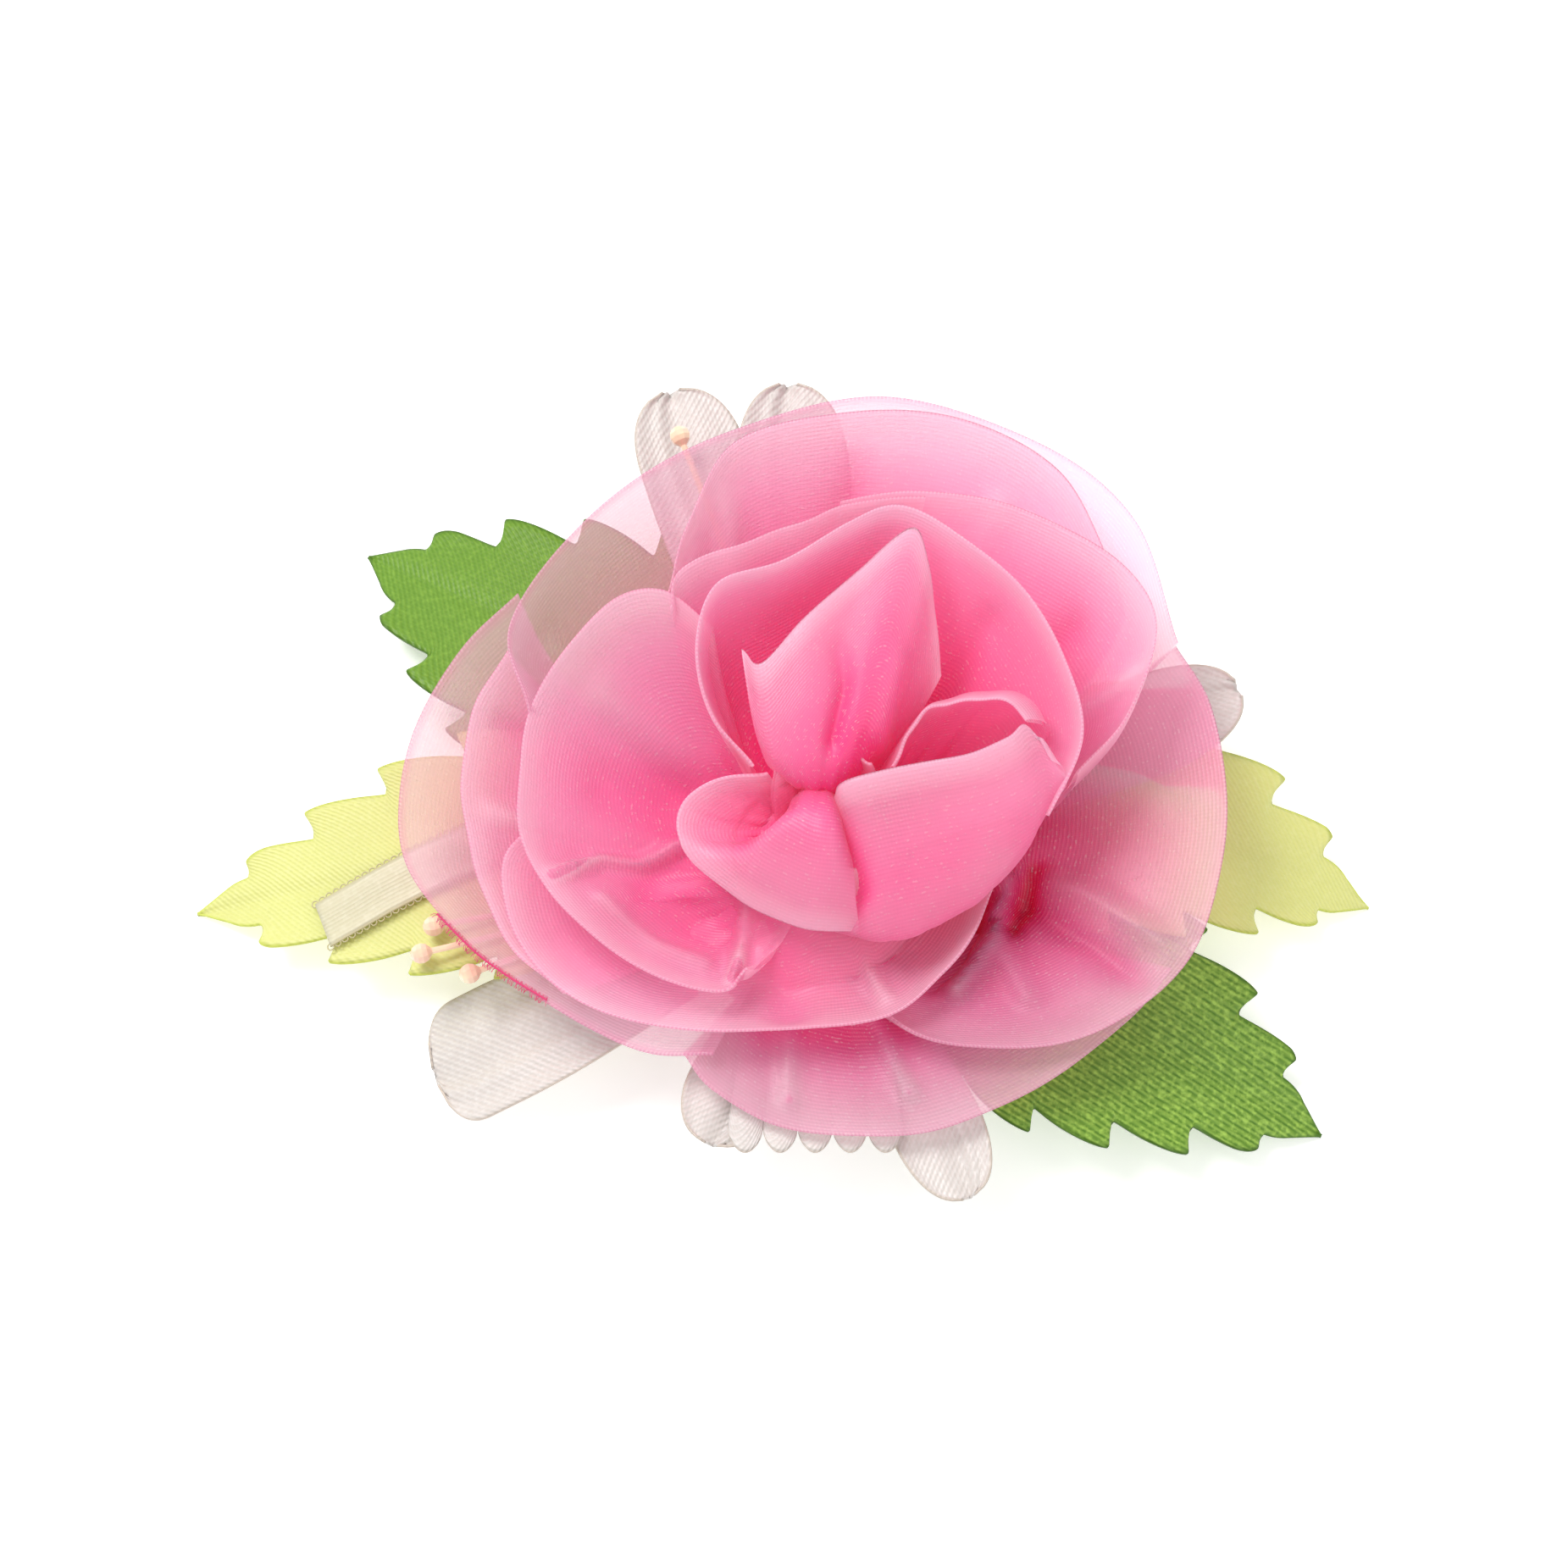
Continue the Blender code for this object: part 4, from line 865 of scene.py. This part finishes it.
def pleated_frill():
    """A strip gathered into round-ended pleats under the front of the rose."""
    u, v = grid_of(161, 24)
    tongue = np.abs(np.sin(math.pi * FRILL_PLEATS * u))
    x = (u - 0.5) * FRILL_SPREAD * (0.8 + 0.2 * v)
    y = FRILL_BACK - FRILL_LENGTH * (0.8 + 0.2 * tongue ** 0.5) * v
    z = CREAM_HIGH + 0.5 * tongue * v
    uv = np.stack([u * FRILL_WIDTH, v * FRILL_LENGTH], axis=-1)
    return flat_piece("pleated_frill_satin", np.stack([x, y, z], axis=-1), uv, (1 - v) * FRILL_LENGTH,
                      CREAM, CREAM_WALL)


ribbon, ribbon_edges = ribbon_tail()
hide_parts("ribbon_tail")
frill = pleated_frill()
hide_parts("pleated_frill")


# ---- finishes on the frame's own pieces --------------------------------------------------------
OWN_FINISHES = {
    "felt_base": FELT, "clip_keeper": FELT, "rose_seat": BUCKRAM,
    "clip_fixed_arm": STEEL, "clip_moving_arm": STEEL, "clip_pin": STEEL, "clip_spring": STEEL,
    "stamen_upper": PEARL, "stamen_middle": PEARL, "stamen_lower": PEARL, "stamen_back": PEARL,
}
for name, material in OWN_FINISHES.items():
    mesh = frame["nodes"][name].data
    mesh.materials.clear()
    mesh.materials.append(material)


# ---- heart of the rose ---------------------------------------------------------------------------
def core_roll(u, v):
    """The middle of the rose: a strip of organza rolled up on itself."""
    turn, radius = 2 * math.pi * 1.6 * u, 0.4 + 1.3 * u
    return np.stack([radius * np.cos(turn), radius * np.sin(turn), 19.7 + 5.2 * v], axis=-1)


core = organza_piece("rose_bud_core_organza", core_roll, ORGANZA_HEART, gather_depth=0.0, wave=0.05,
                     gap=0.2, seed=90)
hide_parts("rose_bud_core")


# ---- repeated details ---------------------------------------------------------------------------
def bent_thread(points, radius, sides=4):
    """A thin thread through the points, open at its ends."""
    points = np.array(points, float)
    ahead = np.gradient(points, axis=0)
    ahead /= np.linalg.norm(ahead, axis=1)[:, None]
    across = np.cross(ahead, (0, 0, 1))
    up = np.cross(across, ahead)
    turn = (2 * math.pi * np.arange(sides) / sides)[None, :, None]
    ring = points[:, None] + radius * (np.cos(turn) * across[:, None] + np.sin(turn) * up[:, None])
    spans = [(a * sides, k, (k + 1) % sides) for a in range(len(points) - 1) for k in range(sides)]
    faces = [(a + k, a + after, a + sides + after, a + sides + k) for a, k, after in spans]
    return ring.reshape(-1, 3), faces


def along_path_tree(name, cell_piece, material):
    """Geometry nodes that set copies of a cell at a steady pitch along a path, each turned a little by
    chance. Gives the tree and its sockets by name."""
    tree = bpy.data.node_groups.new(name + "_along_path", "GeometryNodeTree")
    wanted = (("Path", "NodeSocketGeometry"), ("Pitch", "NodeSocketFloat"), ("Sway", "NodeSocketVector"),
              ("Seed", "NodeSocketInt"))
    ports = {label: tree.interface.new_socket(label, in_out="INPUT", socket_type=kind)
             for label, kind in wanted}
    tree.interface.new_socket("Copies", in_out="OUTPUT", socket_type="NodeSocketGeometry")
    given = node(tree, "NodeGroupInput").outputs
    curve = node(tree, "GeometryNodeMeshToCurve", (given["Path"],))
    spaced = node(tree, "GeometryNodeResampleCurve", {"Curve": curve, "Length": given["Pitch"]},
                  mode="LENGTH")
    tangent = node(tree, "GeometryNodeInputTangent")
    along = node(tree, "FunctionNodeAlignRotationToVector", {"Vector": tangent}, axis="X")
    back = node(tree, "ShaderNodeVectorMath", {0: given["Sway"], "Scale": -1.0}, operation="SCALE")
    chance = node(tree, "FunctionNodeRandomValue", {0: back, 1: given["Sway"], "Seed": given["Seed"]},
                  data_type="FLOAT_VECTOR")
    turned = node(tree, "FunctionNodeRotateRotation", (along, chance), rotation_space="LOCAL")
    source = node(tree, "GeometryNodeObjectInfo", {"Object": cell_piece}).outputs["Geometry"]
    copies = node(tree, "GeometryNodeInstanceOnPoints",
                  {"Points": spaced, "Instance": source, "Rotation": turned})
    real = node(tree, "GeometryNodeRealizeInstances", (copies,))
    finished = node(tree, "GeometryNodeSetMaterial", {"Geometry": real, "Material": material})
    node(tree, "NodeGroupOutput", (finished,))
    return tree, ports


def repeat_along(name, paths, cell, pitch, sway, material, seed):
    """Copies of a small cell, pitch millimetres apart along paths and turned up to sway degrees."""
    counts = np.cumsum([0] + [len(path) for path in paths])
    edges = [(k, k + 1) for start, end in zip(counts, counts[1:]) for k in range(start, end - 1)]
    mesh = bpy.data.meshes.new(name + "_path")
    mesh.from_pydata((np.concatenate(paths) * MM).tolist(), edges, [])
    holder = bpy.data.objects.new(name + "_path", mesh)
    bpy.context.scene.collection.objects.link(holder)
    cell_piece = mesh_piece(name + "_cell", *cell, material)
    tree, ports = along_path_tree(name, cell_piece, material)
    modifier = holder.modifiers.new("along_path", "NODES")
    modifier.node_group = tree
    modifier[ports["Pitch"].identifier] = pitch * MM
    modifier[ports["Sway"].identifier] = [math.radians(angle) for angle in sway]
    modifier[ports["Seed"].identifier] = seed
    shaped = bpy.data.meshes.new_from_object(holder.evaluated_get(bpy.context.evaluated_depsgraph_get()))
    made = bpy.data.objects.new(name, shaped)
    bpy.context.scene.collection.objects.link(made)
    bpy.data.objects.remove(holder)
    bpy.data.objects.remove(cell_piece)
    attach(made, "root")


PICOT_RADIUS, PICOT_PITCH = 0.42, 1.0
STRAND_PITCH = 0.2           # between the threads that fray from a cut edge

turns = np.linspace(0, 2 * math.pi, 9)
loop = bent_thread([(PICOT_RADIUS * math.cos(t), PICOT_RADIUS * math.sin(t), 0) for t in turns], 0.09)
repeat_along("ribbon_picot_loops", ribbon_edges, loop, PICOT_PITCH, (8, 8, 6), RIBBON, 3)

strand = bent_thread([(0, 0.4, 0), (0.05, 0, 0.05), (-0.05, -0.4, 0.05), (0.05, -0.8, -0.1)], 0.045, 3)
raw_edge = smooth_through([(-44.5, -7.5, 11.6), (-40, -11.9, 10.7), (-36, -14.8, 10.2), (-31.5, -17.6, 9.9)],
                          np.linspace(0, 1, 30))
repeat_along("petal_outer_left_fray", [raw_edge], strand, STRAND_PITCH, (20, 20, 35), THREAD, 5)
rolled = mesh_piece("petal_outer_left_raw_edge", *bent_thread(raw_edge, 0.13, 6), THREAD)
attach(rolled, "root")


def spring_wire():
    """The spring's own wire, merged from the frame's loose triangles and shaded smooth."""
    wound = bmesh.new()
    wound.from_mesh(frame["nodes"]["clip_spring"].data)
    bmesh.ops.remove_doubles(wound, verts=wound.verts, dist=0.001 * MM)
    for face in wound.faces:
        face.smooth = True
    mesh = bpy.data.meshes.new("clip_spring_wire")
    wound.to_mesh(mesh)
    wound.free()
    mesh.materials.clear()
    mesh.materials.append(STEEL)
    made = bpy.data.objects.new("clip_spring_wire", mesh)
    bpy.context.scene.collection.objects.link(made)
    return made


spring = spring_wire()
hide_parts("clip_spring")
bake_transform(spring)


# ---- bodies ------------------------------------------------------------------------------------
for piece in bpy.context.scene.objects:
    if piece.type == "MESH" and piece.name.endswith(("_organza", "_satin")):
        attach(piece, "root")


# ---- stage -------------------------------------------------------------------------------------
FLOOR_HALF, FLOOR_SWEEP = 3.0, 0.8     # metres: half the floor's width, and the radius it curves up with
SWEEP_FROM = 1.2                       # metres behind the flower


def studio_floor():
    """A pale sweep that curves up far behind."""
    made, tree = new_material("studio_floor_white")
    shade = node(tree, "ShaderNodeBsdfPrincipled", {
        "Base Color": (0.95, 0.95, 0.95, 1.0), "Roughness": 0.9, "Specular IOR Level": 0.1,
        "Emission Color": (1.0, 1.0, 1.0, 1.0), "Emission Strength": 0.32})
    node(tree, "ShaderNodeOutputMaterial", (shade,))
    level = TABLE * MM
    profile = [(-FLOOR_HALF, level), (SWEEP_FROM, level)]
    for t in np.linspace(0.1, math.pi / 2, 10):
        profile.append((SWEEP_FROM + FLOOR_SWEEP * math.sin(t), level + FLOOR_SWEEP * (1 - math.cos(t))))
    points = [(x, y, z) for x in (-FLOOR_HALF, FLOOR_HALF) for y, z in profile]
    count = len(profile)
    faces = [(k, k + count, k + count + 1, k + 1) for k in range(count - 1)]
    mesh_piece("floor", np.array(points) / MM, faces, made)


def softbox(name, place, size, power):
    """A square softbox that looks at the flower. Its place and size are in metres."""
    data = bpy.data.lights.new(name, "AREA")
    data.shape = "SQUARE"
    data.size = size
    data.energy = power
    made = bpy.data.objects.new(name, data)
    made.location = place
    made.rotation_euler = (Vector((0, 0, 0.01)) - Vector(place)).to_track_quat("-Z", "Y").to_euler()
    bpy.context.scene.collection.objects.link(made)


studio_floor()
softbox("key_softbox", (-0.45, 0.35, 0.9), 0.45, 8.8)
softbox("fill_softbox", (0.6, -0.5, 0.7), 0.8, 2.6)

world = bpy.data.worlds.new("studio")
bpy.context.scene.world = world
world.use_nodes = True
backdrop = world.node_tree.nodes["Background"].inputs
backdrop["Color"].default_value = (1.0, 1.0, 1.0, 1.0)
backdrop["Strength"].default_value = 0.68

ELEVATION = math.radians(70)
DISTANCE = 0.6               # metres from the camera to what it looks at
VIEW_WIDTH = 0.1851          # metres across the picture at that distance
SENSOR = 36                  # millimetres
target = Vector((-0.00365, 0.0075, 0.015))
eye = bpy.data.objects.new("camera", bpy.data.cameras.new("camera"))
bpy.context.scene.collection.objects.link(eye)
eye.location = target + DISTANCE * Vector((0, -math.cos(ELEVATION), math.sin(ELEVATION)))
eye.rotation_euler = (target - eye.location).to_track_quat("-Z", "Y").to_euler()
eye.data.sensor_width = SENSOR
eye.data.lens = SENSOR * DISTANCE / VIEW_WIDTH
bpy.context.scene.camera = eye

scene = bpy.context.scene
scene.view_settings.view_transform = "Standard"
# light passes through many sheer layers before it is lost
scene.cycles.transparent_max_bounces = 64
scene.cycles.max_bounces = 20
scene.cycles.diffuse_bounces = 10
scene.cycles.transmission_bounces = 12
